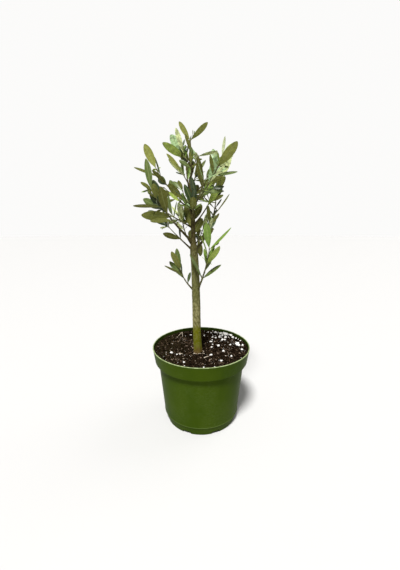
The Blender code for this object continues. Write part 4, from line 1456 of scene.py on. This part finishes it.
def sprig_leaves(leaf, swing, draw):
    """A finer sprig in the angle of a leaf: its tip, the way out of the twig, its own way, its leaves."""
    along, _ = leaf_frame(leaf, swing)
    outward = unit(along - np.dot(along, leaf.stem) * leaf.stem)
    lean = math.radians(draw.uniform(*SPRIG_LEAN))
    way = math.cos(lean) * leaf.stem + math.sin(lean) * outward
    length = draw.uniform(*SPRIG_LENGTH)
    turn = draw.uniform(0, 180)
    pairs = draw.choice(SPRIG_PAIRS)
    small = []
    for pair in range(pairs):
        root = leaf.root + way * length * (pair + 1) / pairs
        for side in (0, 180):
            size = draw.uniform(*SPRIG_LEAF)
            roll = turn + PAIR_CROSSING * pair + side + draw.gauss(0, ROLL_JITTER)
            pitch = draw.uniform(*SPRIG_SPREAD)
            twist = draw.gauss(0, TWIST_JITTER / 2)
            width = size * draw.uniform(LEAF_NARROWEST, LEAF_WIDEST)
            bend = draw.uniform(LEAST_BEND, MOST_BEND)
            small.append(Leaf(root, way, roll, pitch, twist, size, width, bend))
    return leaf.root + way * length, outward, way, small


def fits(rings, low, high):
    """Whether a small blade keeps inside its mass's box and out of the trunk."""
    points = np.asarray(rings).reshape(-1, 3)
    inside = (points > np.array(low)).all() and (points < np.array(high)).all()
    return inside and all(out_of_trunk(point) > 0 for point in points[::4])


blade_skins = [Skins() for _ in TINTS]
stalk_skin = Skins()
standing = []


def grow_leaves(limb, leaves):
    """Grows a shoot's own leaves, each pair in its tint."""
    draw = random.Random(limb.seed + LEAF_SEED)
    pair_tints = {}
    for leaf, swing in leaves:
        place = tuple(leaf.root)
        if place not in pair_tints:
            pair_tints[place] = tint_of(limb, len(pair_tints), draw)
        grow_leaf(leaf, swing, draw, blade_skins[pair_tints[place]], stalk_skin)
        standing.append(sheet_of(blade_rings(leaf, swing, 0.0)))


def grow_sprigs(limb, leaves):
    """Grows a finer sprig in the angle of some of a shoot's leaves, and a bud in that of the others."""
    draw = random.Random(limb.seed + SPRIG_SEED)
    low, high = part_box(f"leaves_{limb.name}")
    for leaf, swing in leaves:
        tip, outward, way, small = sprig_leaves(leaf, swing, draw)
        tint = any_tint(draw)
        wanted = small if draw.random() < SPRIG_CHANCE else []
        leafy = False
        for young in wanted:
            rings = blade_rings(young, 0.0, 0.0)
            sheet = sheet_of(rings)
            if not any(sheet.overlap(other) for other in standing) and fits(rings, low, high):
                grow_leaf(young, 0.0, draw, blade_skins[tint], stalk_skin)
                standing.append(sheet)
                leafy = True
        foot, aim = leaf.root + outward * TWIG_RADIUS, unit(leaf.stem + outward)
        if leafy:
            across, over = ways_across(way)
            steps = [leaf.root + (tip - leaf.root) * step / SPRIG_STEPS for step in range(SPRIG_STEPS + 1)]
            twig_skin.add([ring_of(step, SPRIG_RADIUS, across, over, around(SPRIG_SIDES)) for step in steps])
            foot, aim = tip, way
        twig_skin.add(bud_rings(foot, aim, AXIL_BUD, AXIL_BUD_RADIUS))


crown = {limb: grown(limb) for limb in SHOOTS}
for limb, leaves in crown.items():
    grow_leaves(limb, leaves)
for limb, leaves in crown.items():
    grow_sprigs(limb, leaves)
masses = [f"leaves_{limb.name}" for limb in SHOOTS]
twig_skin.piece("twigs", [twig_bark()], "bark", masses)
stalk_finish = grains("leaf_stalk", STALK_SHADE, STALK_GREEN, scale=300.0, roughness=0.55)
stalk_skin.piece("leaf_stalks", [stalk_finish], "olive_foliage", masses)
for tint, skin in zip(TINTS, blade_skins):
    above = leaf_side(f"leaf_{tint.name}_above", tint.above, tint.mottling, shine=0.42, rough=0.33, felt=0.3)
    below = leaf_side(f"leaf_{tint.name}_below", tint.below, tint.mottling, shine=0.04, rough=0.70, felt=1.0)
    skin.piece(f"leaves_{tint.name}", [above, below], "olive_foliage", masses)


# The floor and the light: a wide pale floor, one high soft light from the front, a weak one from
# behind, and an even white sky that is brighter to the eye than it shines.
FLOOR_REACH = 14.0
FLOOR_SIDES = 96
FLOOR_PALE = (0.584, 0.578, 0.568)
FLOOR_ROUGH = 0.7
FLOOR_SHINE = 0.2
SKY_WHITE = (1.0, 0.995, 0.985)
SKY_STRENGTH = 0.24
SKY_SEEN = 0.97
SOFT_LIGHTS = (((-0.30, -1.00, 1.90), 12.0, 5.1), ((0.9, 0.5, 0.9), 40.0, 0.45))


def pale_floor():
    """A flat round floor under the pot."""
    rim = [(FLOOR_REACH * math.cos(turn), FLOOR_REACH * math.sin(turn), 0.0) for turn in around(FLOOR_SIDES)]
    mesh = bpy.data.meshes.new("floor")
    mesh.from_pydata(rim, [], [tuple(range(FLOOR_SIDES))])
    finish = bpy.data.materials.new("pale_floor")
    finish.use_nodes = True
    shader = finish.node_tree.nodes["Principled BSDF"].inputs
    shader["Base Color"].default_value = (*FLOOR_PALE, 1.0)
    shader["Roughness"].default_value = FLOOR_ROUGH
    shader["Specular IOR Level"].default_value = FLOOR_SHINE
    mesh.materials.append(finish)
    return new_piece("floor", mesh)


def soft_light(place, spread, power):
    """A soft light from the side that place lies on, as wide as spread in degrees."""
    lamp = bpy.data.lights.new("soft_light", "SUN")
    lamp.angle = math.radians(spread)
    lamp.energy = power
    made = new_piece("soft_light", lamp)
    made.location = place
    made.rotation_euler = (-Vector(place)).to_track_quat("-Z", "Y").to_euler()


pale_floor()
for place, spread, power in SOFT_LIGHTS:
    soft_light(place, spread, power)
sky = bpy.data.worlds.new("white_sky")
sky.use_nodes = True
backdrop = sky.node_tree.nodes["Background"]
backdrop.inputs["Color"].default_value = (*SKY_WHITE, 1.0)
seen = add(sky.node_tree, "ShaderNodeLightPath").outputs["Is Camera Ray"]
brightness = by_mask(sky.node_tree, seen, SKY_STRENGTH, SKY_SEEN)
sky.node_tree.links.new(brightness, backdrop.inputs["Strength"])
bpy.context.scene.world = sky
bpy.context.scene.view_settings.view_transform = "Standard"


# The camera stands close in front of the tree, a little above the middle, and looks slightly down.
CAMERA_PLACE = (-0.0021, -0.4315, 0.323)
CAMERA_DOWN = 11.8
CAMERA_LENS = 16.93
CAMERA_WIDTH = 36.0
CAMERA_NEAR = 0.01
camera = new_piece("camera", bpy.data.cameras.new("camera"))
camera.data.lens = CAMERA_LENS
camera.data.sensor_width = CAMERA_WIDTH
camera.data.clip_start = CAMERA_NEAR
camera.location = CAMERA_PLACE
camera.rotation_euler = (math.radians(90 - CAMERA_DOWN), 0.0, 0.0)
bpy.context.scene.camera = camera
